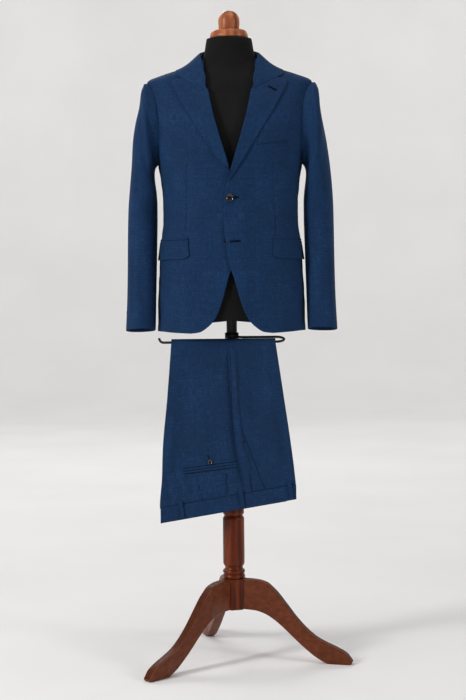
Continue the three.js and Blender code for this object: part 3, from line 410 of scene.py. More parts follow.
# ---------- materials ----------
class Nodes:
    """A short way to write a node material: add(type, sockets) and links by name."""

    def __init__(self, name):
        self.material = bpy.data.materials.new(name)
        self.material.use_nodes = True
        self.tree = self.material.node_tree
        self.shader = self.tree.nodes["Principled BSDF"]

    def add(self, kind, settings=None, **sockets):
        node = self.tree.nodes.new("ShaderNode" + kind)
        for key, value in (settings or {}).items():
            setattr(node, key, value)
        for key, value in sockets.items():
            self.set(node.inputs[key.replace("_", " ")], value)
        return node

    def set(self, socket, value):
        if isinstance(value, bpy.types.NodeSocket):
            self.tree.links.new(value, socket)
        else:
            socket.default_value = value

    def math(self, operation, a, b=0.0):
        node = self.add("Math", {"operation": operation})
        self.set(node.inputs[0], a)
        self.set(node.inputs[1], b)
        return node.outputs[0]

    def scaled(self, vector, x, y, z=1.0):
        node = self.add("Mapping", Scale=(x, y, z))
        self.set(node.inputs["Vector"], vector)
        return node.outputs[0]

    def noise(self, vector, scale, detail=2.0, rough=0.5):
        node = self.add("TexNoise", Scale=scale, Detail=detail, Roughness=rough)
        self.set(node.inputs["Vector"], vector)
        return node.outputs["Fac"]

    def ramp(self, fac, stops):
        node = self.add("ValToRGB")
        elements = node.color_ramp.elements
        while len(elements) < len(stops):
            elements.new(0.5)
        for element, (place, colour) in zip(elements, stops):
            element.position = place
            element.color = (*colour, 1)
        self.set(node.inputs["Fac"], fac)
        return node.outputs["Color"]

    def bump(self, height, strength, distance, under=None):
        node = self.add("Bump", Strength=strength, Distance=distance)
        self.set(node.inputs["Height"], height)
        if under is not None:
            self.set(node.inputs["Normal"], under)
        return node.outputs["Normal"]

    def finish(self, **sockets):
        for key, value in sockets.items():
            self.set(self.shader.inputs[key.replace("_", " ")], value)
        return self.material


def srgb(r, g, b):
    return tuple(((c / 255 + 0.055) / 1.055) ** 2.4 if c > 10 else c / 255 / 12.92 for c in (r, g, b))


def wool(name, dark, base, light):
    """Plain-woven suiting: a dark and a light yarn, uneven slubs both ways and a fine weave in the bump."""
    m = Nodes(name)
    uv = m.add("UVMap", {"uv_map": "cloth"}).outputs[0]
    warp = m.noise(m.scaled(uv, 900, 60), 1.0, 3.0, 0.6)
    weft = m.noise(m.scaled(uv, 60, 850), 1.0, 3.0, 0.6)
    bars = m.noise(m.scaled(uv, 260, 12), 1.0, 2.0, 0.6)
    rungs = m.noise(m.scaled(uv, 12, 240), 1.0, 2.0, 0.6)
    broad = m.noise(m.scaled(uv, 11, 9), 1.0, 3.0, 0.5)
    yarns = m.math("ADD", m.math("MULTIPLY", warp, 0.34), m.math("MULTIPLY", weft, 0.3))
    slubs = m.math("ADD", m.math("MULTIPLY", bars, 0.1), m.math("MULTIPLY", rungs, 0.12))
    tone = m.math("ADD", m.math("ADD", yarns, slubs), m.math("MULTIPLY", broad, 0.14))
    colour = m.ramp(tone, [(0.38, dark), (0.5, base), (0.62, light)])
    threads = m.add("TexWave", {"bands_direction": "X"}, Scale=330.0, Distortion=0.6, Detail=1.0)
    m.set(threads.inputs["Vector"], uv)
    picks = m.add("TexWave", {"bands_direction": "Y"}, Scale=300.0, Distortion=0.6, Detail=1.0)
    m.set(picks.inputs["Vector"], uv)
    weave = m.math("MAXIMUM", threads.outputs["Fac"], picks.outputs["Fac"])
    fine = m.bump(weave, 0.35, 0.0002)
    normal = m.bump(slubs, 0.25, 0.0005, fine)
    return m.finish(Base_Color=colour, Roughness=0.82, Normal=normal, Sheen_Weight=0.03, Sheen_Roughness=0.4,
                    Specular_IOR_Level=0.2)


JACKET_WOOL = wool("jacket_wool", srgb(4, 29, 58), srgb(10, 44, 80), srgb(23, 62, 105))
TROUSER_WOOL = wool("trouser_wool", srgb(6, 30, 58), srgb(13, 44, 79), srgb(26, 62, 102))


def thread(name, colour):
    m = Nodes(name)
    at = m.add("TexCoord").outputs["Object"]
    twist = m.add("TexWave", {"bands_direction": "DIAGONAL"}, Scale=700.0, Distortion=0.4)
    m.set(twist.inputs["Vector"], at)
    shade = m.ramp(m.noise(at, 900), [(0.35, tuple(c * 0.7 for c in colour)), (0.7, tuple(c * 1.35 for c in colour))])
    return m.finish(Base_Color=shade, Roughness=0.9, Normal=m.bump(twist.outputs["Fac"], 0.6, 0.0002),
                    Specular_IOR_Level=0.1)


# Near-black navy, darker than the cloth: real thread for the buttonholes and button sewing, and painted shade where its
# rods lie along seams, edges and pocket gaps.
NAVY_THREAD_AND_SHADE = thread("navy_thread", srgb(5, 9, 18))


def horn():
    m = Nodes("button_horn")
    at = m.add("TexCoord").outputs["Object"]
    swirl = m.noise(m.scaled(at, 160, 160, 420), 1.0, 4.0, 0.6)
    colour = m.ramp(swirl, [(0.35, srgb(7, 9, 15)), (0.55, srgb(15, 19, 29)), (0.8, srgb(38, 44, 58))])
    return m.finish(Base_Color=colour, Roughness=0.16, Coat_Weight=0.6, Coat_Roughness=0.08,
                    Normal=m.bump(swirl, 0.15, 0.0003))


BUTTON = horn()


def jersey():
    m = Nodes("form_jersey")
    at = m.add("TexCoord").outputs["Object"]
    ribs = m.noise(m.scaled(at, 900, 900, 260), 1.0, 2.0, 0.6)
    broad = m.noise(at, 9.0, 3.0)
    tone = m.math("ADD", m.math("MULTIPLY", ribs, 0.55), m.math("MULTIPLY", broad, 0.45))
    colour = m.ramp(tone, [(0.35, srgb(8, 8, 10)), (0.5, srgb(14, 14, 16)), (0.7, srgb(24, 23, 26))])
    return m.finish(Base_Color=colour, Roughness=0.9, Sheen_Weight=0.05, Sheen_Roughness=0.4,
                    Specular_IOR_Level=0.2, Normal=m.bump(ribs, 0.4, 0.0004))


FORM_JERSEY = jersey()


def varnished(name, dark, base, light, grain, rings_share=0.22):
    """Stained wood with grain along the named axis, in a clear varnish."""
    m = Nodes(name)
    at = m.add("TexCoord").outputs["Object"]
    fine = m.noise(m.scaled(at, *grain), 1.0, 5.0, 0.62)
    rings = m.add("TexWave", {"bands_direction": "X", "wave_type": "BANDS"}, Scale=1.0, Distortion=6.0, Detail=3.0,
                  Detail_Scale=1.2)
    m.set(rings.inputs["Vector"], m.scaled(at, *(g * 0.22 for g in grain)))
    tone = m.math("ADD", m.math("MULTIPLY", fine, 0.7), m.math("MULTIPLY", rings.outputs["Fac"], rings_share))
    colour = m.ramp(tone, [(0.3, dark), (0.48, base), (0.68, light)])
    gloss = m.math("ADD", m.math("MULTIPLY", fine, 0.12), 0.3)
    return m.finish(Base_Color=colour, Roughness=gloss, Coat_Weight=0.05, Coat_Roughness=0.12,
                    Specular_IOR_Level=0.2, Normal=m.bump(fine, 0.08, 0.0004))


WOOD_DARK, WOOD_BASE, WOOD_LIGHT = srgb(66, 20, 2), srgb(95, 34, 6), srgb(124, 54, 14)
TURNED_WOOD = varnished("turned_wood", WOOD_DARK, WOOD_BASE, WOOD_LIGHT, (70, 70, 9))
LEG_WOOD = varnished("leg_wood", srgb(94, 43, 18), srgb(112, 55, 27), srgb(128, 68, 36), (60, 60, 90), 0.04)
# Near-black wood for the rods laid in the legs' reeds: painted shade in the grooves.
GROOVE_SHADE_WOOD = varnished("groove_wood", srgb(18, 8, 4), srgb(28, 13, 7), srgb(40, 20, 11), (60, 60, 60), 0.02)
KNOB_WOOD = varnished("knob_wood", srgb(130, 66, 36), srgb(162, 92, 56), srgb(190, 120, 82), (60, 60, 12))


def painted():
    m = Nodes("pole_paint")
    at = m.add("TexCoord").outputs["Object"]
    grit = m.noise(at, 420.0, 3.0)
    colour = m.ramp(grit, [(0.3, srgb(12, 12, 13)), (0.7, srgb(26, 26, 27))])
    return m.finish(Base_Color=colour, Roughness=0.38, Normal=m.bump(grit, 0.08, 0.0002))


POLE_PAINT = painted()


def rail_steel():
    m = Nodes("rail_steel")
    at = m.add("TexCoord").outputs["Object"]
    worn = m.noise(m.scaled(at, 14, 220, 220), 1.0, 4.0, 0.6)
    colour = m.ramp(worn, [(0.35, srgb(24, 24, 25)), (0.6, srgb(70, 69, 67)), (0.8, srgb(120, 117, 112))])
    rough = m.math("ADD", m.math("MULTIPLY", worn, 0.25), 0.2)
    return m.finish(Base_Color=colour, Metallic=0.85, Roughness=rough)


RAIL_STEEL = rail_steel()


def put(obj, slot, *nodes):
    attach(obj, "root")
    if nodes:
        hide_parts(*nodes)
    return obj


# ---------- jacket panels ----------
FRONT_ROWS = [
    # x, z of the front edge and roll line; height on the side seam
    (106, 869.5, 874), (84, 872.5, 886), (62, 886, 900), (42, 908, 918), (25, 949, 952), (8, 1010, 1006),
    (-2, 1040, 1034), (-9, 1075, 1068), (-14, 1113, 1104), (-18, 1170, 1150), (-17, 1221, 1190),
    (-12, 1250, 1222), (1, 1291, 1256), (10, 1325, 1290), (21, 1362, FRONT_END[1]), (35, 1408, None),
    (47, 1455, None), (56, 1500, None), (65, 1550, None),
]
FRONT_NECK = [62, 93]
FRONT_PHI = [FRONT_END[0], 118, 92, 68, 44, 22, 4]
BACK_ROWS = [
    (896, 874), (904, 886), (915, 900), (930, 918), (959, 952), (1009, 1006), (1034, 1034), (1068, 1068),
    (1104, 1104), (1150, 1150), (1192, 1190), (1228, 1222), (1266, 1256), (1310, 1290), (1360, BACK_END[1]),
    (1420, None), (1480, None), (1535, None), (1576, None),
]
BACK_NECK = [180, 140, 93.6]
BACK_PHI = [BACK_END[0], 234, 262, 290, 312, 328, 343, 356]
SEAM_ROWS = 14
IN_SEAM = np.degrees(0.15 / 190)


def outer_edge(heights, seam, phis, gap):
    height = through(range(SEAM_ROWS + 1), heights)
    phi = through([SEAM_ROWS + i for i in range(len(phis))], phis)

    def at(row):
        z = height(np.minimum(row, SEAM_ROWS))
        low_angle = seam(z) + gap
        low_t = ring_at(low_angle, z)
        high_angle, high_t = armhole(phi(np.maximum(row, SEAM_ROWS)))
        high = row > SEAM_ROWS
        return np.where(high, high_angle, low_angle), np.where(high, high_t, low_t)

    return at, height


def inner_edge(angles, rings):
    angle, t = through(range(len(angles)), angles), through(range(len(rings)), rings)
    return lambda row: (angle(row), t(row))


fx, fz = np.array([row[:2] for row in FRONT_ROWS], float).T
front_angles, front_rings = on_front(fx, fz)
front_inner = inner_edge([*front_angles, *FRONT_NECK], [*front_rings, *[NECK] * len(FRONT_NECK)])
front_outer, front_height = outer_edge([r[2] for r in FRONT_ROWS if r[2]], front_seam, FRONT_PHI, -IN_SEAM)
bz = np.array([row[0] for row in BACK_ROWS], float)
back_rings = ring_at(179.9 + 0 * bz, bz)
back_inner = inner_edge([*(179.94 + 0 * bz), 179.94, *BACK_NECK[1:]], [*back_rings, *[NECK] * len(BACK_NECK)])
back_outer, back_height = outer_edge([r[1] for r in BACK_ROWS if r[1]], back_seam, BACK_PHI, IN_SEAM)


def body_grain(angle, t):
    """Cloth coordinates that hang straight: round the body and up it."""
    p = on_body(angle, t)
    return np.stack([np.radians(angle) * 165, p[..., 2] + 0.3 * np.abs(p[..., 1])], -1)


def per_row(edge, rows, V):
    """An edge worked out once for each row, spread over the grid."""
    angle, t = edge(rows)
    return angle[:, None] + 0 * V, t[:, None] + 0 * V


# x0 z0 x1 z1 bow width height, on the wearer's left; a right front takes its own
FRONT_CREASES = {
    LEFT: [
        (35, 1215, 120, 1236, 8, 17, -1.3), (30, 1196, 128, 1150, -10, 20, 1.3), (40, 1180, 112, 1100, -8, 18, -1.2),
        (150, 1335, 116, 1240, 10, 16, -1.2), (166, 1310, 150, 1180, 6, 13, 1.1), (182, 1470, 150, 1380, 12, 15, -1.6),
        (190, 1440, 168, 1350, 8, 11, 1.6), (186, 1395, 172, 1325, 5, 8, -1.5), (96, 1345, 66, 1268, 6, 15, 1.2),
        (60, 1050, 84, 930, 6, 22, 0.9), (128, 1040, 140, 900, -5, 20, -1.2), (168, 1040, 172, 900, 4, 16, 1.0),
        (150, 1520, 186, 1500, -4, 12, 1.0), (140, 1490, 178, 1430, 6, 14, 1.2),
    ],
    RIGHT: [
        (30, 1216, 118, 1246, 9, 18, -1.4), (26, 1200, 120, 1166, -8, 18, 1.4), (34, 1184, 118, 1112, -12, 17, -1.2),
        (142, 1330, 112, 1246, 8, 14, 1.3), (160, 1300, 148, 1170, 7, 14, -1.3), (186, 1476, 156, 1390, 10, 14, 1.7),
        (188, 1430, 166, 1340, 9, 12, -1.6), (184, 1385, 170, 1318, 4, 8, 1.4), (90, 1350, 60, 1276, 6, 16, -1.0),
        (64, 1046, 92, 926, 8, 20, -1.0), (120, 1046, 136, 892, -7, 22, 1.3), (166, 1046, 170, 905, 5, 15, -1.1),
        (146, 1516, 184, 1496, -4, 12, -0.8), (136, 1486, 172, 1424, 6, 15, -1.2),
    ],
}
DART = (113, 1318, 117.5, 1120)  # x, z of its point and of its foot at the pocket


def dart_groove(x, z):
    x0, z0, x1, z1 = DART
    s = np.clip((z - z0) / (z1 - z0), 0, 1)
    line = mix(x0, x1, s)
    inside = smooth(z0 + 4, z0 - 24, z) * smooth(z1 - 12, z1 - 2, z)
    pull = 1 - np.exp(-(((x - line) / 15) ** 2))
    return inside * (-1.2 * np.exp(-(((x - line) / 2.2) ** 2)) - 0.6 * (1 - pull))


def front_swell(side, x, z, angle, t):
    """What shaping and wear add to a front: creases kept calm near the edge, the dart, a soft chest and a wavy hem."""
    near_edge = 1 - smooth(0, 26, x)
    keep = 1 - near_edge * smooth(1035, 1290, z) * 0.85
    made = 1.4 * creases(FRONT_CREASES[side], x, z) * keep + dart_groove(x, z)
    made = made + 2.2 * np.exp(-(((x - 85) / 55) ** 2) - ((z - 1395) / 70) ** 2)
    flare = smooth(960, 872, z) * 1.4 * noise1(5 + side, x, 120) * keep
    return made + flare


def front_at(side, rows):
    def at(U, V, n):
        a0, t0 = per_row(front_inner, rows, V)
        a1, t1 = per_row(front_outer, rows, V)
        angle, t = mix(a0, a1, U), mix(t0, t1, U)
        here = on_body(angle, t)
        x, z = here[..., 0], here[..., 2]
        edge = smooth(0, 0.03, U) * smooth(1, 0.97, U)
        lift = lap_lift(side, x, z) + front_swell(side, x, z, angle, t) * edge
        return mirror(off_body(angle, t, n + lift), side)

    def grain(U, V):
        a0, t0 = per_row(front_inner, rows, V)
        a1, t1 = per_row(front_outer, rows, V)
        return body_grain(mix(a0, a1, U), mix(t0, t1, U))

    return at, grain


def mirror(p, side):
    p = p.copy()
    p[..., 0] *= side
    return p


BACK_CREASES = [
    (150, 1430, 110, 1340, 10, 18, -2.0), (120, 1460, 70, 1400, 8, 20, 1.6), (160, 1300, 60, 1262, -8, 20, -1.8),
    (150, 1262, 40, 1216, -10, 16, 1.8), (140, 1216, 30, 1180, -8, 18, -1.6), (100, 1120, 60, 980, 8, 26, 1.4),
    (60, 1080, 110, 900, -8, 24, -1.6), (30, 1545, 96, 1530, -6, 14, 1.2), (130, 1090, 150, 900, 5, 20, 1.2),
]


def back_at(side, rows):
    def at(U, V, n):
        a0, t0 = per_row(back_inner, rows, V)
        a1, t1 = per_row(back_outer, rows, V)
        angle, t = mix(a0, a1, U), mix(t0, t1, U)
        here = on_body(angle, t)
        x, z = here[..., 0], here[..., 2]
        edge = smooth(0, 0.06, U) * smooth(1, 0.96, U)
        swell = creases(BACK_CREASES, x + (4 if side > 0 else -5), z + (6 if side > 0 else -7))
        return mirror(off_body(angle, t, n + swell * edge), side)

    def grain(U, V):
        a0, t0 = per_row(back_inner, rows, V)
        a1, t1 = per_row(back_outer, rows, V)
        return body_grain(mix(a0, a1, U), mix(t0, t1, U))

    return at, grain


def side_at(side, rows):
    zf, zb = front_height(rows)[:, None], back_height(rows)[:, None]

    def where(U, V):
        phi = mix(FRONT_END[0], BACK_END[0], U)
        top_angle, _ = armhole(phi[-1])
        top_z = armhole_z(phi) - 0.3
        share = mix(zf, zb, U)
        low = float(front_height(0))
        end = mix(FRONT_END[1], BACK_END[1], U)
        v = (share - low) / (end - low)
        z = share + (top_z - end) * v**3
        first, last = front_seam(zf) + IN_SEAM, back_seam(zb) - IN_SEAM
        angle = mix(first, last, U)
        aim = np.clip(top_angle[None] + 0 * U, first, last)
        return mix(angle, aim, v**4 * np.sin(pi * U)), z

    def at(U, V, n):
        angle, z = where(U, V)
        t = ring_at(angle, z)
        edge = smooth(0, 0.12, U) * smooth(1, 0.88, U)
        drags = 1.1 * noise1(31 + side, z + angle, 130) * edge * smooth(874, 900, z)
        return mirror(off_body(angle, t, n + drags), side)

    def grain(U, V):
        angle, z = where(U, V)
        return body_grain(angle, ring_at(angle, z))

    return at, grain


def dense(*runs):
    """Values from (start, end, count) runs, each without its last value, then the very last."""
    parts = [np.linspace(a, b, n, endpoint=False) for a, b, n in runs]
    return np.concatenate([*parts, [runs[-1][1]]])


jacket = {}
for side in (LEFT, RIGHT):
    rows = dense((0, 0.25, 3), (0.25, 14, 104), (14, 19.96, 46))
    at, grain = front_at(side, rows)
    across_front = dense((0, 0.02, 3), (0.02, 0.98, 62), (0.98, 1, 3))
    piece = shell(f"cloth_front_{SIDE[side]}", across_front, rows, at, -CLOTH, 0, JACKET_WOOL,
                  flip=side < 0, grain=grain)
    jacket[f"front_{SIDE[side]}"] = put(piece, "jacket_wool", f"jacket_front_{SIDE[side]}")

    rows = dense((0, 0.25, 3), (0.25, 14, 70))
    at, grain = side_at(side, rows)
    piece = shell(f"cloth_side_{SIDE[side]}", dense((0, 1, 20)), rows, at, -CLOTH, 0, JACKET_WOOL,
                  flip=side < 0, grain=grain)
    jacket[f"side_{SIDE[side]}"] = put(piece, "jacket_wool", f"jacket_side_{SIDE[side]}")

    rows = dense((0, 0.25, 3), (0.25, 14, 84), (14, 21, 48))
    at, grain = back_at(side, rows)
    piece = shell(f"cloth_back_{SIDE[side]}", dense((0, 0.02, 2), (0.02, 0.98, 40), (0.98, 1, 2)), rows, at, -CLOTH,
                  0, JACKET_WOOL, flip=side > 0, grain=grain)
    jacket[f"back_{SIDE[side]}"] = put(piece, "jacket_wool", f"jacket_back_{SIDE[side]}")

# ---------- sleeves ----------
SLEEVE_ROWS = [
    # outX outZ inX inZ middle front back
    (227, 1531.5, 198, 1309, 0, 62, 65), (235, 1514, 201, 1300, 0, 67, 70), (240, 1474, 202, 1288, 0, 70, 73),
    (249, 1430, 201, 1274, 0, 71, 74), (257, 1378, 199, 1258, 0, 70, 72), (263, 1321, 196.5, 1238, 1, 67, 69),
    (269, 1255, 195, 1210, 2, 63, 66), (273, 1190, 195, 1170, 2, 60, 62), (274.5, 1120, 196, 1116, -2, 57, 58),
    (275, 1040, 197.5, 1040, -11, 53, 54), (276, 965, 199, 965, -22, 49, 50), (278, 910, 200, 910, -30, 47, 47),
    (279.5, 876, 201, 878, -34, 46, 46),
]
sleeve = columns("outX outZ inX inZ middle front back", SLEEVE_ROWS)
LAST = len(SLEEVE_ROWS)
CUFF = dict(box=0.02, slope=6)
FRONT_SEAM = 150
HIND_SEAM = {LEFT: (-112, -100, -84), RIGHT: (-108, -72, -28)}


def hind_seam(side, k):
    return through([0, 0.55 * LAST, LAST], HIND_SEAM[side])(k)


def sleeve_ring(phi, k):
    p = np.radians(phi)
    s = np.maximum(k - 1, 0)
    sine, cosine = across(p, CUFF["box"]), along(p, CUFF["box"])
    reach = np.where(sine > 0, sleeve["front"](s), sleeve["back"](s))
    low = CUFF["slope"] * sine * smooth(LAST - 3, LAST, k)
    f = (1 + cosine) / 2
    made = xyz(mix(sleeve["inX"](s), sleeve["outX"](s), f), sleeve["middle"](s) - reach * sine,
               mix(sleeve["inZ"](s), sleeve["outZ"](s), f) + low)
    if np.min(k) >= 1:
        return made
    angle, t = armhole(np.mod(phi, 360))
    start = off_body(angle, t, -0.3 + 0 * t) - [1.6, 0, 0]
    share = np.clip(k, 0, 1)[..., None]
    return mix(start, made, share)


def sleeve_offset(side, phi, k, n):
    k0 = np.clip(k, 0.02, LAST - 0.02)
    dp = sleeve_ring(phi + 1, k0) - sleeve_ring(phi - 1, k0)
    dk = sleeve_ring(phi, k0 + 0.02) - sleeve_ring(phi, k0 - 0.02)
    normal = unit(np.cross(dp, dk))
    return mirror(sleeve_ring(phi, k) + normal * np.asarray(n)[..., None], side)


# phi0 k0 phi1 k1 bow width height, with k counted in tens so that both are lengths of the same order
SLEEVE_CREASES = {
    LEFT: [
        (60, 12, 140, 30, 4, 9, -1.8), (20, 20, 120, 44, 5, 11, 1.8), (-10, 34, 110, 56, 6, 10, -1.5),
        (140, 40, 60, 66, 5, 9, 1.7), (150, 62, 40, 74, -4, 8, -1.9), (160, 70, 50, 84, -4, 8, 1.8),
        (150, 80, 30, 92, 4, 9, -1.5), (30, 60, -40, 100, 6, 14, 1.3), (60, 92, 100, 124, 4, 12, -1.0),
        (0, 6, 4, 34, 2, 14, 1.2), (-60, 30, -80, 70, 4, 14, -1.6), (-120, 60, -60, 82, 5, 10, 1.7),
        (-130, 74, -50, 92, 4, 9, -1.6),
    ],
    RIGHT: [
        (70, 14, 140, 34, 4, 9, 1.7), (30, 22, 124, 48, 6, 10, -1.8), (0, 40, 112, 58, 6, 10, 1.6),
        (146, 44, 64, 70, 4, 9, -1.8), (150, 58, 44, 72, -5, 8, 1.9), (160, 72, 40, 88, -4, 8, -1.8),
        (140, 84, 20, 96, 4, 10, 1.5), (24, 56, -50, 96, 6, 13, -1.3), (70, 96, 96, 126, 4, 12, 1.0),
        (0, 8, -6, 36, 2, 14, -1.0), (-70, 34, -84, 72, 4, 13, 1.5), (-124, 62, -56, 80, 5, 10, -1.7),
        (-126, 76, -60, 94, 4, 9, 1.6),
    ],
}


def sleeve_swell(side, phi, k):
    made = creases(SLEEVE_CREASES[side], np.mod(phi + 180, 360) - 180, k * 10)
    fullness = 1.0 * np.exp(-((k - 0.9) / 0.5) ** 2) * np.cos(np.radians(phi)).clip(0)
    return 1.7 * made * smooth(0.2, 1.4, k) * smooth(LAST, LAST - 1.2, k) + fullness


def sleeve_at(side, first, last):
    def where(U, V):
        return mix(first(V), last(V), U), V

    def at(U, V, n):
        phi, k = where(U, V)
        return sleeve_offset(side, phi, k, n + sleeve_swell(side, phi, k))

    def grain(U, V):
        phi, k = where(U, V)
        return np.stack([np.radians(phi) * 58, -k * 54], -1)

    return at, grain


SLEEVE_GAP = 0.2
sleeves = {}
for side in (LEFT, RIGHT):
    ks = dense((0, 1, 12), (1, LAST - 0.1, 96), (LAST - 0.1, LAST, 3))
    hind = lambda k, s=side: hind_seam(s, k) + SLEEVE_GAP
    fore = lambda k: FRONT_SEAM - SLEEVE_GAP + 0 * k
    at, grain = sleeve_at(side, hind, fore)
    piece = shell(f"cloth_top_sleeve_{SIDE[side]}", dense((0, 1, 60)), ks, at, -CLOTH, 0, JACKET_WOOL,
                  flip=side < 0, grain=grain)
    sleeves[f"top_{SIDE[side]}"] = put(piece, "jacket_wool", f"top_sleeve_{SIDE[side]}")
    fore = lambda k: FRONT_SEAM + SLEEVE_GAP + 0 * k
    hind = lambda k, s=side: hind_seam(s, k) + 360 - SLEEVE_GAP
    at, grain = sleeve_at(side, fore, hind)
    piece = shell(f"cloth_under_sleeve_{SIDE[side]}", dense((0, 1, 30)), ks, at, -CLOTH, 0, JACKET_WOOL,
                  flip=side < 0, grain=grain)
    sleeves[f"under_{SIDE[side]}"] = put(piece, "jacket_wool", f"under_sleeve_{SIDE[side]}")

# ---------- lapels and collar ----------
LAPEL_ROWS = [
    # rollX rollZ edgeX edgeZ
    (3, 1300, 13, 1301), (9, 1322, 36, 1325), (24, 1372, 74, 1387), (39, 1425, 117, 1458), (48, 1462, 151, 1525),
    (56, 1503, 126, 1541),
]
LAPEL_BREAK = [(-9, 1264, -4, 1265), (-3, 1284, 10, 1287)]
ROLL, LAPEL_CLOTH, LAPEL_LAY = 3.2, 2.4, 0.9
lapel_rows = {LEFT: LAPEL_BREAK + LAPEL_ROWS[1:], RIGHT: LAPEL_ROWS}


def lapel_at(side):
    line = columns("rollX rollZ edgeX edgeZ", lapel_rows[side])

    def where(U, V):
        # the last stretch turns the corner at the tip sharply
        return mix(line["rollX"](V), line["edgeX"](V), U), mix(line["rollZ"](V), line["edgeZ"](V), U)

    def at(U, V, n):
        x, z = where(U, V)
        angle, t = on_front(x, z)
        roll = (ROLL + 1.5) * (1 - U) ** 2.2 * smooth(0, 1.2, V)
        belly = 1.6 * np.sin(pi * U) * smooth(0.5, 2, V) * smooth(len(lapel_rows[side]) - 1, 3.5, V)
        belly = belly + 1.5 * smooth(0.7, 1, U) * smooth(0.3, 1.2, V) * smooth(len(lapel_rows[side]) - 1, 3.8, V)
        return mirror(off_body(angle, t, n + LAPEL_LAY + roll + belly + lap_lift(side, x, z)), side)

    def grain(U, V):
        x, z = where(U, V)
        # the lapel's grain runs along its roll
        return np.stack([x * 0.94 - z * 0.34, z * 0.94 + x * 0.34], -1)

    return at, grain


for side in (LEFT, RIGHT):
    last = len(lapel_rows[side]) - 1
    at, grain = lapel_at(side)
    piece = shell(f"cloth_lapel_{SIDE[side]}", dense((0, 0.9, 26), (0.9, 1, 5)),
                  dense((0, last - 1, 64), (last - 1, last, 22)), at, 0, LAPEL_CLOTH, JACKET_WOOL,
                  soften=0.36, flip=side < 0, grain=grain)
    jacket[f"lapel_{SIDE[side]}"] = put(piece, "jacket_wool", f"lapel_{SIDE[side]}")
    # A dark rod just outside and under each lapel's edge: painted shadow of the lapel's edge on the front.
    V = np.linspace(0.9, last - 0.9, 70)
    under = tube(at(0 * V + 1.012, V, 0 * V - 0.9), 1.3, 6)
    put(new_object(f"lapel_underedge_{SIDE[side]}", *under, NAVY_THREAD_AND_SHADE), "jacket_wool")

COLLAR_BEHIND = [
    # angle rise edgeAngle edge
    (180, 22, 180, 13.25), (150, 21, 157, 13.3), (122, 18, 134, 13.3), (98, 14, 104, 13.1), (76, 10, 84, 12.85),
]
COLLAR_FRONT = [
    # rollX rollZ rise edgeX edgeZ
    (69.5, 1574, 6, 142.5, 1557), (62, 1540, 4, 142.5, 1555), (54.5, 1501.5, ROLL, 140, 1548.5),
]
COLLAR_CLOTH, COLLAR_LAY, BEHIND = 2.2, 1.1, len(COLLAR_BEHIND)
collar_rise = through(range(8), [r[1] for r in COLLAR_BEHIND] + [r[2] for r in COLLAR_FRONT])


def collar_strand(w):
    """Angle and ring number along the collar, w of the way from its fold to its outer edge."""
    angles = [mix(a, e, w) for a, _, e, _ in COLLAR_BEHIND]
    rings = [mix(NECK, e, w) for _, _, _, e in COLLAR_BEHIND]
    x = np.array([mix(r[0], r[3], w) for r in COLLAR_FRONT])
    z = np.array([mix(r[1], r[4], w) for r in COLLAR_FRONT])
    front_angle, front_ring = on_front(x, z)
    return through(range(8), [*angles, *front_angle]), through(range(8), [*rings, *front_ring])


COLLAR_W = dense((0, 0.1, 4), (0.1, 0.92, 14), (0.92, 1, 4))
collar_strands = [collar_strand(w) for w in COLLAR_W]


def collar_where(row):
    angle = np.stack([strand[0](row) for strand in collar_strands])
    t = np.stack([strand[1](row) for strand in collar_strands])
    return angle, t


def collar_at(U, V, n):
    """U from -7 at the right notch to 7 at the left one; V counts the strands."""
    row = np.abs(U[0])
    side = np.where(U[0] < 0, -1.0, 1.0)
    angle, t = collar_where(row)
    w = COLLAR_W[:, None]
    behind = 1 - smooth(BEHIND - 2, BEHIND + 0.5, row)
    rise = collar_rise(row)
    bulge = mix((ROLL + 1.2) * (1 - w) ** 2, rise * 0.75 * (1 - w) ** 1.6, behind)
    made = off_body(angle, t, COLLAR_LAY + bulge + n)
    seam = on_body(angle, NECK + 0 * t)
    fold = xyz(seam[..., 0] * 0.97, seam[..., 1] * 0.97, seam[..., 2] + rise)
    out = off_body(angle, t, 1 + 0 * t) - off_body(angle, t, 0 * t)
    share = (behind * (1 - w) ** 4)[..., None]
    made = mix(made, fold + out * np.asarray(n)[..., None], share)
    made[..., 0] *= side
    return made


ends = dense((0, 6.4, 60), (6.4, 7, 12))
collar_us = np.concatenate([-ends[:0:-1], ends])
piece = shell("cloth_collar", collar_us, np.arange(len(COLLAR_W)), collar_at, 0, COLLAR_CLOTH, JACKET_WOOL,
              soften=0.36, grain=lambda U, V: np.stack([U * 30, COLLAR_W[V.astype(int)] * 45], -1))
jacket["collar"] = put(piece, "jacket_wool", "collar")


def stand_at(U, V, n):
    row = np.abs(U)
    angle = through(range(BEHIND), [r[0] for r in COLLAR_BEHIND])(row)
    low = on_body(angle, NECK - 0.02 + 0 * angle)
    rise = collar_rise(row)
    top = xyz(low[..., 0] * 0.97, low[..., 1] * 0.97, low[..., 2] + rise - 0.3)
    half, back = body["half"](NECK), body["back"](NECK)
    out = unit(xyz(low[..., 0] / half**2, low[..., 1] / back**2, 0 * angle))
    low[..., 2] += 1
    made = mix(low, top, V[..., None]) + out * (np.asarray(n) - 3.6)[..., None]
    made[..., 0] *= np.where(U < 0, -1.0, 1.0)
    return made


stand_u = np.linspace(0, BEHIND - 1, 40)
piece = shell("cloth_collar_stand", np.concatenate([-stand_u[:0:-1], stand_u]), np.linspace(0, 1, 6), stand_at, 0, 2,
              JACKET_WOOL, flip=True)
jacket["collar_stand"] = put(piece, "jacket_wool", "collar_stand")

# ---------- pockets ----------
LAY = 0.5
WELT = dict(low0=(68, 1357), low1=(163, 1373), high0=(79, 1385), high1=(165, 1399))


def welt_at(U, V, n):
    x = mix(mix(WELT["low0"][0], WELT["low1"][0], U), mix(WELT["high0"][0], WELT["high1"][0], U), V)
    z = mix(mix(WELT["low0"][1], WELT["low1"][1], U), mix(WELT["high0"][1], WELT["high1"][1], U), V)
    angle, t = on_front(x, z)
    swell = front_swell(LEFT, x, z, angle, t)
    return off_body(angle, t, n + swell + 0.6 * np.sin(pi * U) * V)


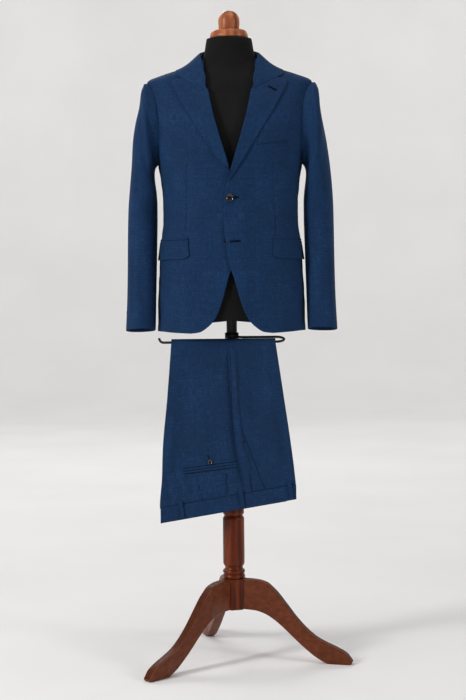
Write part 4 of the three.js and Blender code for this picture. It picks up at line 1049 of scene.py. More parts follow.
piece = shell("cloth_breast_welt", dense((0, 0.03, 2), (0.03, 0.97, 40), (0.97, 1, 2)), dense((0, 1, 12)), welt_at,
              LAY, LAY + 1.8, JACKET_WOOL, grain=lambda U, V: np.stack([U * 98, V * 27], -1))
jacket["welt"] = put(piece, "jacket_wool", "breast_welt")

FLAP = dict(x=111, low=1063, high=1113, lean=4, round=11, end=92, cloth=2)
JET = dict(low=1113.6, high=1119)


def flap_at(side):
    def at(U, V, n):
        start = on_front(FLAP["x"] - FLAP["lean"] * (1 - V), mix(FLAP["low"], FLAP["high"], V))[0]
        corner = FLAP["round"] * np.maximum(0, 1 - U / 0.1) ** 2 * np.maximum(0, 1 - V / 0.4)
        z = mix(FLAP["low"], FLAP["high"], V) + corner - 2 * U
        angle = mix(start, FLAP["end"], U)
        t = ring_at(angle, z)
        wave = 0.7 * noise1(40 + side, U * 150, 110) * (1 - V)
        swell = 1.5 * (1 - V) + wave + 1.6 * smooth(0.75, 1, U) * (1 - V)
        return mirror(off_body(angle, t, n + swell), side)

    return at


def jet_at(side):
    def at(U, V, n):
        start = on_front(np.full_like(U, FLAP["x"]), np.full_like(U, JET["low"]))[0]
        angle = mix(start, FLAP["end"], U)
        z = mix(JET["low"], JET["high"], V) - 2 * U
        return mirror(off_body(angle, ring_at(angle, z), n + 0.5 * np.sin(pi * V)), side)

    return at


for side in (LEFT, RIGHT):
    flat_grain = lambda U, V: np.stack([U * 150, V * 50], -1)
    piece = shell(f"cloth_flap_{SIDE[side]}", dense((0, 0.12, 14), (0.12, 1, 44)), dense((0, 0.06, 3), (0.06, 1, 18)),
                  flap_at(side), LAY, LAY + FLAP["cloth"], JACKET_WOOL, soften=0.38, flip=side < 0, grain=flat_grain)
    jacket[f"flap_{SIDE[side]}"] = put(piece, "jacket_wool", f"pocket_flap_{SIDE[side]}")
    piece = shell(f"cloth_jet_{SIDE[side]}", dense((0, 1, 50)), dense((0, 1, 6)), jet_at(side), LAY, LAY + 1.2,
                  JACKET_WOOL, flip=side < 0, grain=flat_grain)
    put(piece, "jacket_wool", f"pocket_jet_{SIDE[side]}")


# ---------- buttons and buttonholes ----------
def turned_button(base, away, radius, thick):
    """A four-hole button with a raised rim, facing from base towards away, and its sewing."""
    rows = [(0.02, 0.1), (0.78, 0), (0.96, 0.2), (1.0, 0.5), (0.97, 0.82), (0.88, 1.0), (0.78, 0.96), (0.68, 0.72),
            (0.62, 0.62), (0.3, 0.56), (0.02, 0.56)]
    r = np.array([a * radius for a, _ in rows])
    h = np.array([b * thick for _, b in rows])
    z_way = unit(np.asarray(away) - np.asarray(base))
    x_way = unit(np.cross([0, 0, 1.0], z_way))
    y_way = np.cross(z_way, x_way)
    sides = 40
    a = np.linspace(0, 2 * pi, sides, endpoint=False)

    def to(x, y, z):
        return base + np.multiply.outer(x, x_way) + np.multiply.outer(y, y_way) + np.multiply.outer(z, z_way)

    verts = np.concatenate([to(rr * np.cos(a), rr * np.sin(a), hh + 0 * a) for rr, hh in zip(r, h)])
    faces = [(j * sides + i, j * sides + (i + 1) % sides, (j + 1) * sides + (i + 1) % sides, (j + 1) * sides + i)
             for j in range(len(rows) - 1) for i in range(sides)]
    faces += [tuple(range(sides))[::-1], tuple((len(rows) - 1) * sides + i for i in range(sides))]
    hole, reach = radius * 0.1, radius * 0.22
    sewing = []
    for sign in (-1, 1):
        ends = [to(np.array([-reach]), np.array([-reach * sign]), np.array([thick * 0.3]))[0],
                to(np.array([-reach * 0.9]), np.array([-reach * 0.9 * sign]), np.array([thick * 0.7]))[0],
                to(np.array([0.0]), np.array([0.0]), np.array([thick * 0.78]))[0],
                to(np.array([reach * 0.9]), np.array([reach * 0.9 * sign]), np.array([thick * 0.7]))[0],
                to(np.array([reach]), np.array([reach * sign]), np.array([thick * 0.3]))[0]]
        sewing.append(tube(ends, hole * 0.75, 8))
    return (verts, faces), joined(sewing)


def button(name, node, base, away, radius, thick):
    disc, sewing = turned_button(base, away, radius, thick)
    put(new_object(name, *disc, BUTTON, sharp=40), "button", node)
    put(new_object(name + "_thread", *sewing, NAVY_THREAD_AND_SHADE), "button")


def chest(side, x, z, n):
    angle, t = on_front(np.array([float(x)]), np.array([float(z)]))
    lift = lap_lift(side, np.array([float(x)]), np.array([float(z)]))
    swell = front_swell(side, np.array([float(x)]), np.array([float(z)]), angle, t)
    return mirror(off_body(angle, t, n + lift + swell), side)[0]


def seam_fill(name, points, radius):
    """The turnings of a seam, lying in the groove between its two pieces."""
    put(new_object(name, *tube(points, radius, 8), JACKET_WOOL), "jacket_wool")


for side in (LEFT, RIGHT):
    t = np.linspace(SHOULDER - 0.02, NECK - 0.05, 24)
    seam_fill(f"shoulder_seam_{SIDE[side]}", mirror(off_body(0 * t + 90, t, 0.7 + 0 * t), side), 1.4)
    k = np.linspace(0.08, LAST - 0.03, 160)
    hind = through([0, 0.55 * LAST, LAST], HIND_SEAM[side])(k)
    for which, phi in (("front", 0 * k + FRONT_SEAM), ("hind", hind)):
        seam_fill(f"sleeve_seam_{which}_{SIDE[side]}",
                  sleeve_offset(side, phi, k, sleeve_swell(side, phi, k) - 1.1), 1.0)
# A dark rod along each dart: the dart's seam, drawn dark as painted shade in its groove.
for side in (LEFT, RIGHT):
    seam = [chest(side, mix(DART[0], DART[2], f), mix(DART[1], DART[3], f), -0.1) for f in np.linspace(0.04, 0.97, 50)]
    put(new_object(f"dart_seam_{SIDE[side]}", *tube(np.array(seam), 0.5, 6), NAVY_THREAD_AND_SHADE), "jacket_wool")
button("button_front_upper", "front_button_upper", chest(LEFT, -2, 1221, 0.5), chest(LEFT, -2, 1221, 9), 11, 4)
button("button_front_lower", "front_button_lower", chest(RIGHT, 9, 1107, 0.3), chest(RIGHT, 9, 1107, 9), 10, 3.7)
ks = np.linspace(1, LAST, 2000)
for side in (LEFT, RIGHT):
    heights = sleeve_ring(0 * ks, ks)[:, 2]
    for i in range(4):
        k = float(np.interp(-(926 + i * 12.4), -heights, ks))
        phi = float(hind_seam(side, k)) + 15
        at = lambda n: sleeve_offset(side, np.array([phi]), np.array([k]), np.array([n]))[0]
        button(f"button_cuff_{SIDE[side]}_{i + 1}", f"cuff_button_{SIDE[side]}_{i + 1}", at(0.3), at(9), 6, 3.2)


def buttonhole(name, place, start, end, slot_name, width=1.9, radius=0.75):
    """A worked buttonhole on place(x, z, n), from one end to the other, with a line along its cut."""
    start, end = np.array(start, float), np.array(end, float)
    way = unit(end - start)
    aside = np.array([-way[1], way[0]])
    outline = []
    for f in np.linspace(0, 1, 14):
        outline.append(mix(start, end, f) + aside * width)
    for a in np.linspace(pi / 2, -pi / 2, 7)[1:-1]:
        outline.append(end + way * np.cos(a) * width + aside * np.sin(a) * width)
    for f in np.linspace(1, 0, 14):
        outline.append(mix(start, end, f) - aside * width)
    for a in np.linspace(-pi / 2, -3 * pi / 2, 7)[1:-1]:
        outline.append(start + way * np.cos(a) * width + aside * np.sin(a) * width)
    ring = [place(x, z, 0.25) for x, z in outline]
    cut = [place(*mix(start, end, f), 0.1) for f in np.linspace(0.02, 0.98, 12)]
    verts, faces = joined([tube(ring, radius, 8, closed=True), tube(cut, radius * 0.8, 6)])
    return put(new_object(name, verts, faces, NAVY_THREAD_AND_SHADE), slot_name)


on_left_front = lambda x, z, n: chest(LEFT, x, z, n)
buttonhole("buttonhole_upper", on_left_front, (9.5, 1221.5), (20, 1222), "jacket_wool")
buttonhole("buttonhole_lower", on_left_front, (0, 1107), (23, 1108), "jacket_wool")


def on_lapel(x, z, n):
    base = chest(LEFT, x, z, LAPEL_LAY + LAPEL_CLOTH + 1.4 + n)
    return base


buttonhole("buttonhole_lapel", on_lapel, (103, 1513), (121, 1502), "jacket_wool", 1.5, 0.55)

# ---------- trousers ----------
RAIL = dict(y=-58, z=845, radius=3.3, left=-184, right=118, bend=20, armZ=856)
TROUSER_CLOTH = 1.0
leg_front = columns("z x0 x1", [(372, -187.5, 168), (413, -191, 167), (490, -185, 161), (568, -182, 152),
                                (698, -169.5, 134), (845, -157.5, 113)], "z")
leg_back = columns("s x0 x1", [(0, -157.5, 113), (150, -147, 94), (390, -137, 76), (600, -131, 62)], "s")
BAND = dict(low0=374, low1=433, high0=413, high1=472, x0=-190, x1=166, cloth=2.4)
FOLD = dict(drop=395, turn=12, up=180)
LAYERS = 4
TUCK = 1.5  # how far the cloth reaches down inside the waistband
NEAR_RAIL = 0.3 + TROUSER_CLOTH / 2
AT_RAIL, AT_WAIST = TROUSER_CLOTH + 0.5, 4.4
TURN_Y = RAIL["y"] + RAIL["radius"] + NEAR_RAIL + (LAYERS - 1) * AT_RAIL + FOLD["turn"] / 4


def band_share(x):
    return np.clip((x - BAND["x0"]) / (BAND["x1"] - BAND["x0"]), -0.05, 1.05)


def band_low(x):
    return mix(BAND["low0"], BAND["low1"], band_share(x))


def band_high(x):
    return mix(BAND["high0"], BAND["high1"], band_share(x))


# x0 z0 x1 z1 bow width height on the leg that shows
DRAPE = [
    (-8, 838, 2, 610, -2, 4.5, -7), (-1, 640, 36, 452, -7, 5, -8), (5, 840, 12, 640, 2, 7, 4.5),
    (11, 670, 45, 500, -4, 8, 4.5), (-24, 830, -16, 600, 0, 12, 2.5), (-22, 640, 12, 470, -6, 12, 3.0), (-52, 800, -34, 590, 4, 20, 3.2), (-116, 770, -128, 560, -5, 18, -3.2),
    (-156, 660, -172, 500, 3, 11, 4.2), (-160, 520, -132, 448, 4, 8, -5.0), (-148, 505, -114, 444, 3, 8, 4.6),
    (-178, 505, -166, 420, 2, 7, -4.5), (52, 800, 64, 640, -3, 18, -3.4), (94, 790, 122, 560, -4, 18, 3.2),
    (72, 570, 62, 498, 4, 12, -2.8), (118, 650, 142, 520, 3, 13, -3.6), (-86, 660, -72, 545, 4, 20, 2.6),
    (30, 560, 46, 500, 2, 7, 2.4), (58, 592, 98, 560, -5, 9, 1.8), (-32, 472, -2, 450, 2, 8, -2.6),
]
HIP = dict(x0=-130, x1=13, z0=502, z1=520, jet=6, gap=0.8, cloth=1)
TROUSER_DARTS = [(-94.7, 489, -80.4, 425), (-21.6, 500.5, -16.4, 434.5)]


def drape(x, z):
    swell = creases(DRAPE, x, z)
    for x0, z0, x1, z1 in TROUSER_DARTS:
        line = mix(x0, x1, np.clip((z0 - z) / (z0 - z1), 0, 1))
        swell = swell - 1.1 * np.exp(-(((x - line) / 2.2) ** 2)) * smooth(z0 + 2, z0 - 6, z)
    return swell


def leg_at(layer, u, part, f, n):
    off = NEAR_RAIL + layer * AT_RAIL + n
    radius = RAIL["radius"] + off
    start = band_high(mix(BAND["x0"], BAND["x1"], u)) - TUCK
    z = mix(start, RAIL["z"], f)
    x = mix(leg_front["x0"](z), leg_front["x1"](z), u)
    spread_out = (AT_WAIST - AT_RAIL) * layer * smooth(1, 0, f) ** 1.2
    bow = 4 * np.sin(pi * u) * np.sin(pi * np.clip(1 - f, 0, 1))
    outer = layer > LAYERS - 1.25
    swell = drape(x, z) * smooth(1, 0.92, f) * smooth(0, 0.05, f) - 1.3 * np.exp(-(((z - start - TUCK) / 2.2) ** 2))
    swell = swell * np.where(outer, 1, 0)
    front = xyz(x, RAIL["y"] - radius - spread_out - bow * np.where(outer, 1, 0.55) - swell, z)
    a = pi * (1 - f)
    over = xyz(mix(leg_back["x0"](0), leg_back["x1"](0), u), RAIL["y"] + radius * np.cos(a),
               RAIL["z"] + radius * np.sin(a))
    s = np.where(part == 2, FOLD["drop"] * f, np.where(part == 3, FOLD["drop"] + 10 * f,
                                                        FOLD["drop"] + 10 + FOLD["up"] * f))
    back_x = mix(leg_back["x0"](s), leg_back["x1"](s), u)
    behind = xyz(back_x, RAIL["y"] + radius, RAIL["z"] - FOLD["drop"] * f)
    turn = TURN_Y - (RAIL["y"] + radius) + 1
    a = pi * np.where(part == 3, f, 1)
    rise = np.where(part == 4, FOLD["up"] * f, 0)
    turned_up = xyz(back_x, TURN_Y + 1 - turn * np.cos(a), RAIL["z"] - FOLD["drop"] - turn * np.sin(a) + rise)
    part = np.asarray(part)[..., None]
    return np.where(part == 0, front, np.where(part == 1, over, np.where(part == 2, behind, turned_up)))


def side_seam(part, f):
    return np.where(part == 0, mix(0.685, 0.595, np.sqrt(f)), 0.595)


INSEAM = 0.56
DRAPE_ROWS = [(0, f) for f in dense((0, 0.97, 96))] + [(1, f) for f in np.linspace(0, 1, 9)] \
    + [(2, f) for f in np.linspace(0.03, 1, 20)] + [(3, f) for f in np.linspace(0.125, 1, 8)] \
    + [(4, f) for f in np.linspace(0.1, 1, 10)]
DRAPE_ROWS = np.array(DRAPE_ROWS, float)


def panel(name, node, outer, inner, edge, towards):
    folds = np.concatenate([0.9 * np.linspace(0, 1, 46, endpoint=False) ** 1.35, np.linspace(0.9, 1, 8)])
    layer = np.concatenate([np.full(len(folds), outer), [(outer + inner) / 2], np.full(len(folds), inner)])
    f = np.concatenate([folds, [1.004], folds[::-1]])
    is_turn = f > 1
    sign = np.where(layer == outer, towards, np.where(is_turn, 0, -towards))
    way = 1 if edge else -1

    def at(U, V, n):
        i, j = U.astype(int), V.astype(int)
        part, row_f = DRAPE_ROWS[j, 0], DRAPE_ROWS[j, 1]
        seam = np.where(layer[i] == outer, side_seam(part, row_f), INSEAM)
        u = mix(seam + way * 0.0005, edge, np.minimum(f[i], 1))
        made = leg_at(layer[i], u, part, row_f, n * sign[i])
        made[..., 0] += np.where(is_turn[i], way * (n + 1), 0)
        return made

    def grain(U, V):
        i, j = U.astype(int), V.astype(int)
        run = np.cumsum(np.concatenate([[0], np.abs(np.diff(DRAPE_ROWS[:, 1])).clip(0, 0.1) * 400]))
        return np.stack([f[i] * 170 * way + 400 * (layer[i] == inner), run[j]], -1)

    flip = (towards > 0) == (edge == 0)
    obj = shell(name, np.arange(len(layer)), np.arange(len(DRAPE_ROWS)), at, -TROUSER_CLOTH / 2, TROUSER_CLOTH / 2,
                TROUSER_WOOL, flip=flip, grain=grain)
    return put(obj, "trouser_wool", node)


trousers = {
    "front_left": panel("cloth_trouser_front_left", "trouser_front_left", 3, 2, 1, 1),
    "back_left": panel("cloth_trouser_back_left", "trouser_back_left", 3, 2, 0, 1),
    "front_right": panel("cloth_trouser_front_right", "trouser_front_right", 0, 1, 1, -1),
    "back_right": panel("cloth_trouser_back_right", "trouser_back_right", 0, 1, 0, -1),
}
LEG_SIDES = {"left": (3, 1), "right": (0, -1)}
MIDDLE_Y = RAIL["y"] - RAIL["radius"] - NEAR_RAIL - 1.5 * AT_WAIST
BACK_TURN = 6


def band_at(layer, towards):
    end = BAND["x1"] - (1 if layer > 1 else 26)

    def at(U, V, n):
        half = abs(layer - 1.5) * AT_WAIST
        turn = np.clip(1 - U / 0.06, 0, 1) * (pi / 2) * 0.98
        x = mix(BAND["x0"] + BACK_TURN, end, np.clip((U - 0.06) / 0.94, 0, 1)) - (BACK_TURN + n) * np.sin(turn)
        soft = 0.6 * noise1(77, x, 150) * smooth(0.06, 0.15, U)
        y = MIDDLE_Y - towards * (half + n + soft) * np.cos(turn)
        return xyz(x, y, mix(band_low(x), band_high(x) - 0.3, V) - (0 if layer > 1 else 3))

    return at


LOOP = dict(width=11, above=12, stand=2.6, cloth=1.4)
LOOPS = {"back": -136, "side": 22, "front": 150}


def loop_at(x, towards):
    def at(U, V, n):
        xx = x - (22 if towards < 0 else 0) + mix(-LOOP["width"] / 2, LOOP["width"] / 2, U) + 7 * (0.5 - V)
        stand = LOOP["stand"] * 0.6 * np.sin(pi * np.clip(V, 0.001, 0.999)) ** 0.35
        z = mix(band_low(xx) + 1, band_high(xx) + LOOP["above"], V) - (3 if towards < 0 else 0)
        return xyz(xx, MIDDLE_Y - towards * (1.5 * AT_WAIST + BAND["cloth"] / 2 + LAY + 0.6 + stand + n), z)

    return at


def on_leg(layer, towards, x, z, n):
    x, z = np.asarray(x, float), np.asarray(z, float)
    u = np.clip((x - leg_front["x0"](z)) / (leg_front["x1"](z) - leg_front["x0"](z)), 0, 1)
    start = band_high(mix(BAND["x0"], BAND["x1"], u)) - TUCK
    f = np.clip((z - start) / (RAIL["z"] - start), 0, 1)
    return leg_at(np.full(x.shape, float(layer)), u, np.zeros(x.shape), f, towards * (TROUSER_CLOTH / 2 + n))


for name, (layer, towards) in LEG_SIDES.items():
    stations = np.concatenate([np.linspace(0, 0.06, 8, endpoint=False), np.linspace(0.06, 1, 60)])
    piece = shell(f"cloth_waistband_{name}", stations, dense((0, 0.08, 3), (0.08, 0.92, 8), (0.92, 1, 3)),
                  band_at(layer, towards), -BAND["cloth"] / 2, BAND["cloth"] / 2, TROUSER_WOOL, flip=towards < 0,
                  grain=lambda U, V: np.stack([V * 41, U * 360], -1))
    trousers[f"band_{name}"] = put(piece, "trouser_wool", f"waistband_{name}")
    for place, x in LOOPS.items():
        piece = shell(f"cloth_loop_{place}_{name}", dense((0, 1, 6)), dense((0, 1, 20)), loop_at(x, towards), 0,
                      LOOP["cloth"], TROUSER_WOOL, flip=towards < 0, grain=lambda U, V: np.stack([U * 11, V * 52], -1))
        put(piece, "trouser_wool", f"belt_loop_{place}_{name}")
    for place, rise in (("upper", 1), ("lower", 0)):
        def jet(U, V, n, rise=rise, layer=layer, towards=towards):
            x = mix(HIP["x0"], HIP["x1"], U)
            z = mix(HIP["z0"], HIP["z1"], U) + rise * (HIP["jet"] + HIP["gap"]) + HIP["jet"] * V
            return on_leg(layer, towards, x, z, n + 0.5 * np.sin(pi * V))

        piece = shell(f"cloth_hip_jet_{place}_{name}", dense((0, 1, 50)), dense((0, 1, 5)), jet, LAY, LAY + HIP["cloth"],
                      TROUSER_WOOL, flip=towards < 0, grain=lambda U, V: np.stack([U * 143, V * 6], -1))
        put(piece, "trouser_wool", f"hip_jet_{place}_{name}")
    spot = lambda n, layer=layer, towards=towards: on_leg(layer, towards, [-60.0], [532.5], n)[0]
    button(f"button_hip_{name}", f"hip_button_{name}", spot(0.3), spot(9), 7.5, 3)


def on_left_leg(x, z, n):
    return on_leg(3, 1, [x], [z], n + 0.1)[0]


def seam_and_shadow_line(name, points, radius=0.55):
    """A fine dark rod laid on the leg that shows, along a turned edge or row of stitching: partly the stitching, partly
    painted shade in the seam or gap.
    """
    xs, zs = np.array(points, float).T
    f = np.linspace(0, len(points) - 1, 12 * (len(points) - 1) + 1)
    x, z = through(range(len(xs)), xs)(f), through(range(len(zs)), zs)(f)
    verts, faces = tube([on_left_leg(a, b, 0.0) for a, b in zip(x, z)], radius, 6)
    return put(new_object(name, verts, faces, NAVY_THREAD_AND_SHADE), "trouser_wool")


# Dark rods along the slant pocket's edge and its bar tack: the edge and its stitching, drawn dark as painted shade
# under the edge.
seam_and_shadow_line("slant_pocket_edge", [(23.4, 616), (40, 575), (62, 515), (83, 461)])
seam_and_shadow_line("slant_pocket_bar", [(26, 582), (33, 586)], 0.9)
# A dark line in the gap between the hip pocket's two jets: painted shade in the pocket's mouth.
seam_and_shadow_line("hip_pocket_mouth", [(x, mix(HIP["z0"], HIP["z1"], (x - HIP["x0"]) / (HIP["x1"] - HIP["x0"])) + dz)
                               for x, dz in ((-130, 7), (-90, 6.8), (-40, 6.8), (12, 6.4))], 0.8)
# Dark lines along the lower and upper edges of the jets: painted shadow round them.
for name, dz in (("under", -1.2), ("over", 14.2)):
    seam_and_shadow_line(f"hip_pocket_{name}", [(x, mix(HIP["z0"], HIP["z1"], (x - HIP["x0"]) / (HIP["x1"] - HIP["x0"])) + dz)
                                     for x in (-130, -90, -40, 12)], 0.5)
# The darts as dark lines: their stitched seams, drawn dark as painted shade in the dart grooves.
for name, points in (("back_outer", [(-93, 488), (-88, 464), (-80, 432)]),
                     ("back_inner", [(-17, 502), (-16.5, 474), (-16, 450)]),
                     ("front", [(45, 500), (47, 476), (49, 456)])):
    seam_and_shadow_line(f"dart_{name}", points, 0.55)
# A dark line just beyond the waistband's edge: the waist seam, drawn dark as painted shade beside the band's edge.
seam_and_shadow_line("waist_seam", [(x, float(band_high(x)) + 0.9) for x in np.linspace(-182, 160, 12)], 0.6)
buttonhole("buttonhole_hip", on_left_leg, (-62, 541), (-65.5, 551), "trouser_wool", 0.6, 0.5)

# ---------- dress form ----------
FORM_GAP, FORM_BASE, NECK_TOP = 2.6, 905, 1651
AROUND = np.linspace(-180, 180, 144, endpoint=False)
NECK_ROWS = [
    # z half front back
    (0.02, 70, 51, 54), (0.3, 66, 51, 53), (0.6, 63.5, 52, 53), (0.9, 61, 53, 54), (0.98, 60, 52, 53),
    (1, 56, 49, 50),
]
form_ts = np.concatenate([
    np.linspace(float(ring_at(90.0, FORM_BASE)), 8, 40), np.linspace(8, 10.5, 14)[1:], np.linspace(10.5, 11.6, 12)[1:],
    np.linspace(11.6, 14.5, 16)[1:],
])
rings = []
for t in form_ts:
    z = on_body(AROUND, t + 0 * AROUND)[:, 2]
    inset = mix(9, FORM_GAP, smooth(1400, 1530, z))
    groove = 0.7 * np.exp(-((AROUND / 1.3) ** 2)) + 0.7 * np.exp(-(((np.abs(AROUND) - 180) / 1.3) ** 2))
    rings.append(off_body(AROUND, t + 0 * AROUND, -CLOTH - inset - groove))
neck = columns("z half front back", NECK_ROWS, "z")
for f in [0.02, 0.1, 0.2, 0.3, 0.4, 0.5, 0.6, 0.7, 0.8, 0.9, 0.95, 0.98, 0.993, 1.0]:
    a = np.radians(AROUND)
    base = on_body(AROUND, NECK + 0 * AROUND)[:, 2]
    reach = np.where(np.cos(a) > 0, neck["front"](f), neck["back"](f))
    rings.append(xyz(neck["half"](f) * np.sin(a), -reach * np.cos(a), mix(base, NECK_TOP, f)))
rings = np.array(rings)
faces = []
n_around = len(AROUND)
for j in range(len(rings) - 1):
    for i in range(n_around):
        k = (i + 1) % n_around
        faces.append((j * n_around + i, j * n_around + k, (j + 1) * n_around + k, (j + 1) * n_around + i))
faces.append(tuple(range(n_around))[::-1])
faces.append(tuple((len(rings) - 1) * n_around + i for i in range(n_around)))
put(new_object("form_cover", rings.reshape(-1, 3), faces, FORM_JERSEY, sharp=60), "form_cover", "form_body")

# ---------- stand ----------
CAP_FOOT = NECK_TOP + 0.3
put(lathe("wood_neck_cap", [(0.5, CAP_FOOT), (49, CAP_FOOT), (50.6, CAP_FOOT + 1), (51, CAP_FOOT + 3),
                            (50.6, CAP_FOOT + 7), (49.5, CAP_FOOT + 12), (48, CAP_FOOT + 16), (46, CAP_FOOT + 19.2),
                            (43.5, CAP_FOOT + 20.7), (41, CAP_FOOT + 21), (0.5, CAP_FOOT + 21)], KNOB_WOOD, 96),
    "dark_wood", "neck_cap")
KNOB_FOOT = CAP_FOOT + 21.3
dome = [(28.5 * np.cos(f * pi / 2), KNOB_FOOT + 26 + 28 * np.sin(f * pi / 2)) for f in np.linspace(0.05, 0.985, 16)]
put(lathe("wood_knob", [(0.5, KNOB_FOOT), (26.4, KNOB_FOOT), (27, KNOB_FOOT + 0.8), (27.4, KNOB_FOOT + 6),
                        (28, KNOB_FOOT + 14), (28.4, KNOB_FOOT + 20), *dome], KNOB_WOOD, 80),
    "dark_wood", "neck_knob")
COLUMN_ROWS = [
    (0, 214.3), (25.5, 214.3), (28.6, 217), (29.5, 220.5), (28.6, 224), (26.5, 226.5), (28.6, 229), (29.5, 232.5),
    (28.6, 236), (25, 239), (23.5, 243), (24.5, 247), (27, 250.5), (28.5, 256), (28.6, 315), (28.5, 370),
    (27.4, 376), (25, 379.5), (23.5, 381.5), (26.5, 384), (28.2, 390), (27.8, 398), (24.5, 408), (19, 415),
    (17, 422), (0, 422),
]
r, z = np.array(COLUMN_ROWS[1:-1], float).T
step = np.arange(len(r))
fine = np.linspace(0, len(r) - 1, 5 * (len(r) - 1) + 1)
turned_rows = list(zip(through(step, r)(fine), through(step, z)(fine)))
put(lathe("wood_column", [(0.5, 214.3), *turned_rows, (0.5, 422)], TURNED_WOOD, 96, sharp=60), "dark_wood", "column")
put(lathe("steel_pole", [(0.5, 422.3), (14, 422.3), (14, 660), (14, FORM_BASE - 0.3), (0.5, FORM_BASE - 0.3)],
          POLE_PAINT, 64), "pole_paint", "pole")
ARM_Y = -18
bend = np.linspace(0.06, 0.94, 15)
a = pi * (0.5 - bend)
line = np.array([
    (10, -13, RAIL["armZ"] + 1), (20, ARM_Y + 2, RAIL["armZ"] + 0.4), (30, ARM_Y, RAIL["armZ"]),
    (70, ARM_Y, RAIL["armZ"]), (RAIL["right"], ARM_Y, RAIL["armZ"]),
    *zip(RAIL["right"] + RAIL["bend"] * np.cos(a), mix(ARM_Y, RAIL["y"], (1 - np.sin(a)) / 2),
         mix(RAIL["armZ"], RAIL["z"], smooth(0, 1, bend))),
    (RAIL["right"], RAIL["y"], RAIL["z"]), (60, RAIL["y"], RAIL["z"]), (-60, RAIL["y"], RAIL["z"]),
    (RAIL["left"] + 4, RAIL["y"], RAIL["z"]), (RAIL["left"] + 1, RAIL["y"], RAIL["z"] + 0.5),
    (RAIL["left"] - 1.5, RAIL["y"], RAIL["z"] + 1.8), (RAIL["left"] - 4, RAIL["y"], RAIL["z"] + 4.2),
    (RAIL["left"] - 6, RAIL["y"], RAIL["z"] + 7.5), (RAIL["left"] - 7, RAIL["y"], RAIL["z"] + 12),
])
rod = tube(line, RAIL["radius"], 20)
ring_rows = [(14.3, 847.5), (14.3, 847), (18, 847), (18.5, 847.6), (18.5, 867.4), (18, 868), (14.3, 868), (14.3, 867.5)]
r, z = np.array(ring_rows).T
a = np.linspace(0, 2 * pi, 48, endpoint=False)
ring = xyz(r[:, None] * np.cos(a), r[:, None] * np.sin(a), z[:, None] + 0 * a).reshape(-1, 3)
ring_faces = [(j * 48 + i, j * 48 + (i + 1) % 48, ((j + 1) % 8) * 48 + (i + 1) % 48, ((j + 1) % 8) * 48 + i)
              for j in range(8) for i in range(48)]
verts, faces = joined([rod, (ring, ring_faces)])
put(new_object("steel_rail", verts, faces, RAIL_STEEL, sharp=50), "rail_steel", "trouser_rail")

HUB = dict(apothem=28, low=133, high=214)
LEG_ANGLES = {"rear": 106, "left": 226, "right": 346}
corner = np.radians(106 + 30 + 60 * np.arange(6))
soft = []
for inset, z in ((1.2, HUB["low"]), (0, HUB["low"] + 1.2), (0, HUB["high"] - 1.2), (1.2, HUB["high"])):
    reach = (HUB["apothem"] - inset) / np.cos(radians(30))
    ring = []
    for c in corner:
        for d in (-2, 0, 2):
            ring.append((reach * np.cos(c + radians(d)) * (0.985 if d == 0 else 1),
                         reach * np.sin(c + radians(d)) * (0.985 if d == 0 else 1), z))
    soft.append(ring)
soft = np.array(soft)
faces = [(j * 18 + i, j * 18 + (i + 1) % 18, (j + 1) * 18 + (i + 1) % 18, (j + 1) * 18 + i)
         for j in range(3) for i in range(18)]
faces += [tuple(range(18))[::-1], tuple(54 + i for i in range(18))]
put(new_object("wood_hub", soft.reshape(-1, 3), faces, TURNED_WOOD, sharp=25), "dark_wood", "hub")

LEG_TOP = [(28.3, 213.6), (60, 212), (86, 206), (113, 185), (143, 149), (170, 115), (197, 87), (224, 66), (250, 53),
           (276, 42), (303, 27), (318, 8)]
LEG_UNDER = [(28.3, 134), (58, 132), (86, 124), (113, 108), (143, 83), (170, 58), (197, 35), (224, 15), (246, 3.5),
             (256, 0), (290, 0), (314, 0.5)]
LEG_THICK = 26
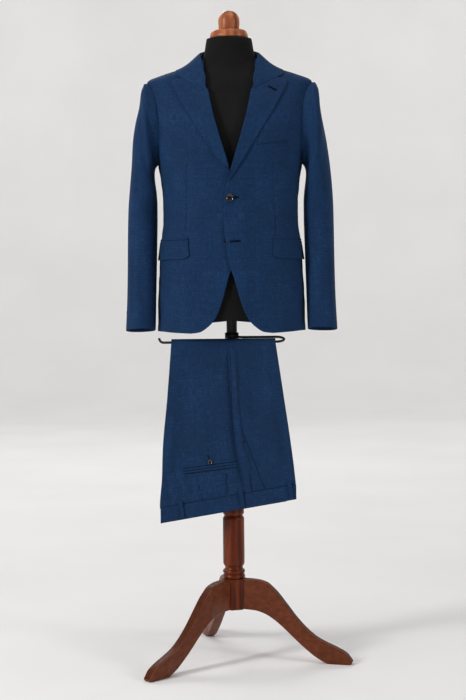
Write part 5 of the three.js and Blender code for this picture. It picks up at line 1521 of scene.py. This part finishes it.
# Round the leg's section: share of the half thickness across, and how deep the point lies below the top edge.
REEDS = [(-1, 7), (-1, 3), (-0.94, 1), (-0.82, 0.2), (-0.64, 0), (-0.6, 3), (-0.44, 3), (-0.4, 0), (-0.14, 0),
         (-0.1, 3), (0.1, 3), (0.14, 0), (0.4, 0), (0.44, 3), (0.6, 3), (0.64, 0), (0.82, 0.2), (0.94, 1), (1, 3),
         (1, 7)]
s = np.linspace(0, 1, 90)
top = [through(np.linspace(0, 1, 12), [row[i] for row in LEG_TOP])(s) for i in (0, 1)]
under = [through(np.linspace(0, 1, 12), [row[i] for row in LEG_UNDER])(s) for i in (0, 1)]
for name, angle in LEG_ANGLES.items():
    section = []
    reach = np.stack(top, -1) - np.stack(under, -1)
    down = -unit(reach)
    height = np.linalg.norm(reach, axis=-1)
    for share, depth in REEDS:
        p = np.stack(top, -1) + down * np.minimum(depth, height * 0.3)[:, None]
        section.append(np.concatenate([p, np.full((len(s), 1), share * LEG_THICK / 2)], 1))
    for share, depth in ((1, 2.5), (0.85, 0), (-0.85, 0), (-1, 2.5)):
        p = np.stack(under, -1) - down * np.minimum(depth, height * 0.3)[:, None]
        p[:, 1] = np.maximum(p[:, 1], 0)
        section.append(np.concatenate([p, np.full((len(s), 1), share * LEG_THICK / 2)], 1))
    section = np.array(section).transpose(1, 0, 2)
    c, d = np.cos(radians(angle)), np.sin(radians(angle))
    r, h, w = section[..., 0], section[..., 1], section[..., 2]
    verts = xyz(r * c - w * d, r * d + w * c, h).reshape(-1, 3)
    m = section.shape[1]
    faces = [(j * m + i, (j + 1) * m + i, (j + 1) * m + (i + 1) % m, j * m + (i + 1) % m)
             for j in range(len(s) - 1) for i in range(m)]
    faces += [tuple(range(m)), tuple((len(s) - 1) * m + i for i in range(m))[::-1]]
    put(new_object(f"wood_leg_{name}", verts, faces, LEG_WOOD, sharp=42), "dark_wood", f"leg_{name}")
    # A dark rod in the bottom of each of the three reeds along a leg's top: painted shade in the grooves.
    for i, share in enumerate((-0.52, 0, 0.52)):
        p = np.stack(top, -1)[2:-3] + down[2:-3] * 2.2
        groove = xyz(p[:, 0] * c - share * 13 * d, p[:, 0] * d + share * 13 * c, p[:, 1])
        put(new_object(f"wood_groove_{name}_{i}", *tube(groove, 1.05, 8), GROOVE_SHADE_WOOD), "dark_wood")


# ---------- how each piece of cloth rests -----------
# CUT holds each piece's width and length in metres; here each piece finds from its name how it is held and what lies
# under it
RESTS = {
    "cloth_trouser": ("draped", ["steel_rail"]), "cloth_waistband": ("hung", ["cloth_trouser_front", "steel_rail"]),
    "cloth_loop": ("hung", ["cloth_waistband"]), "cloth_hip": ("laid", ["cloth_trouser_back"]),
    "cloth": ("hung", ["form_cover"]),
}
for obj in list(bpy.data.objects):
    if obj.name not in CUT:
        continue
    held, under = next(RESTS[key] for key in RESTS if obj.name.startswith(key))
    end = "_" + obj.name.rsplit("_", 1)[-1]
    under = [name if name in bpy.data.objects else name + end for name in under]


# ---------- stage and light ----------
def backdrop():
    """A pale floor that sweeps up into a wall, far enough behind to walk round the stand."""
    sweep, start = 2.4, 6.9
    ys = [(-16, 0), (start, 0)]
    ys += [(start + sweep * np.sin(a), sweep - sweep * np.cos(a)) for a in np.linspace(0.1, pi / 2, 16)]
    ys += [(start + sweep, 12)]
    verts = [(x, y, z) for y, z in ys for x in (-18, 18)]
    faces = [(2 * i, 2 * i + 1, 2 * i + 3, 2 * i + 2) for i in range(len(ys) - 1)]
    mesh = bpy.data.meshes.new("backdrop")
    mesh.from_pydata(verts, [], faces)
    for p in mesh.polygons:
        p.use_smooth = True
    m = Nodes("backdrop_paper")
    at = m.add("TexCoord").outputs["Object"]
    colour = m.ramp(m.noise(at, 1.4, 2.0), [(0.3, srgb(238, 237, 236)), (0.7, srgb(243, 242, 241))])
    mesh.materials.append(m.finish(Base_Color=colour, Roughness=0.9, Specular_IOR_Level=0.1))
    obj = bpy.data.objects.new("backdrop", mesh)
    bpy.context.scene.collection.objects.link(obj)


backdrop()


def area(name, place, aim, size, power, colour=(1, 1, 1)):
    light = bpy.data.lights.new(name, "AREA")
    light.shape = "RECTANGLE"
    light.size, light.size_y = size
    light.energy = power
    light.color = colour
    obj = bpy.data.objects.new(name, light)
    obj.location = place
    obj.rotation_euler = (Vector(aim) - Vector(place)).to_track_quat("-Z", "Y").to_euler()
    bpy.context.scene.collection.objects.link(obj)


area("soft_left", (-3.5, -2.5, 2.5), (0, 0, 0.95), (0.8, 1.4), 118)
area("soft_right", (3.6, -2.4, 2.0), (0, 0, 0.95), (0.8, 1.4), 44)
area("soft_top", (0, -0.4, 4.4), (0, 1.4, 0.2), (3.5, 2.2), 40)
area("soft_back", (-1.4, 4.2, 4.4), (0, 0, 1.0), (2.4, 1.4), 60)
area("wall_left", (-4.2, 4.4, 4.6), (0.8, 9.3, 1.2), (1.6, 2.6), 114)
area("wall_right", (4.2, 4.4, 4.6), (-0.8, 9.3, 1.2), (1.6, 2.6), 114)
world = bpy.data.worlds.new("studio")
world.use_nodes = True
world.node_tree.nodes["Background"].inputs["Color"].default_value = (1, 0.99, 0.98, 1)
world.node_tree.nodes["Background"].inputs["Strength"].default_value = 0.24
bpy.context.scene.world = world
bpy.context.scene.view_settings.view_transform = "Standard"
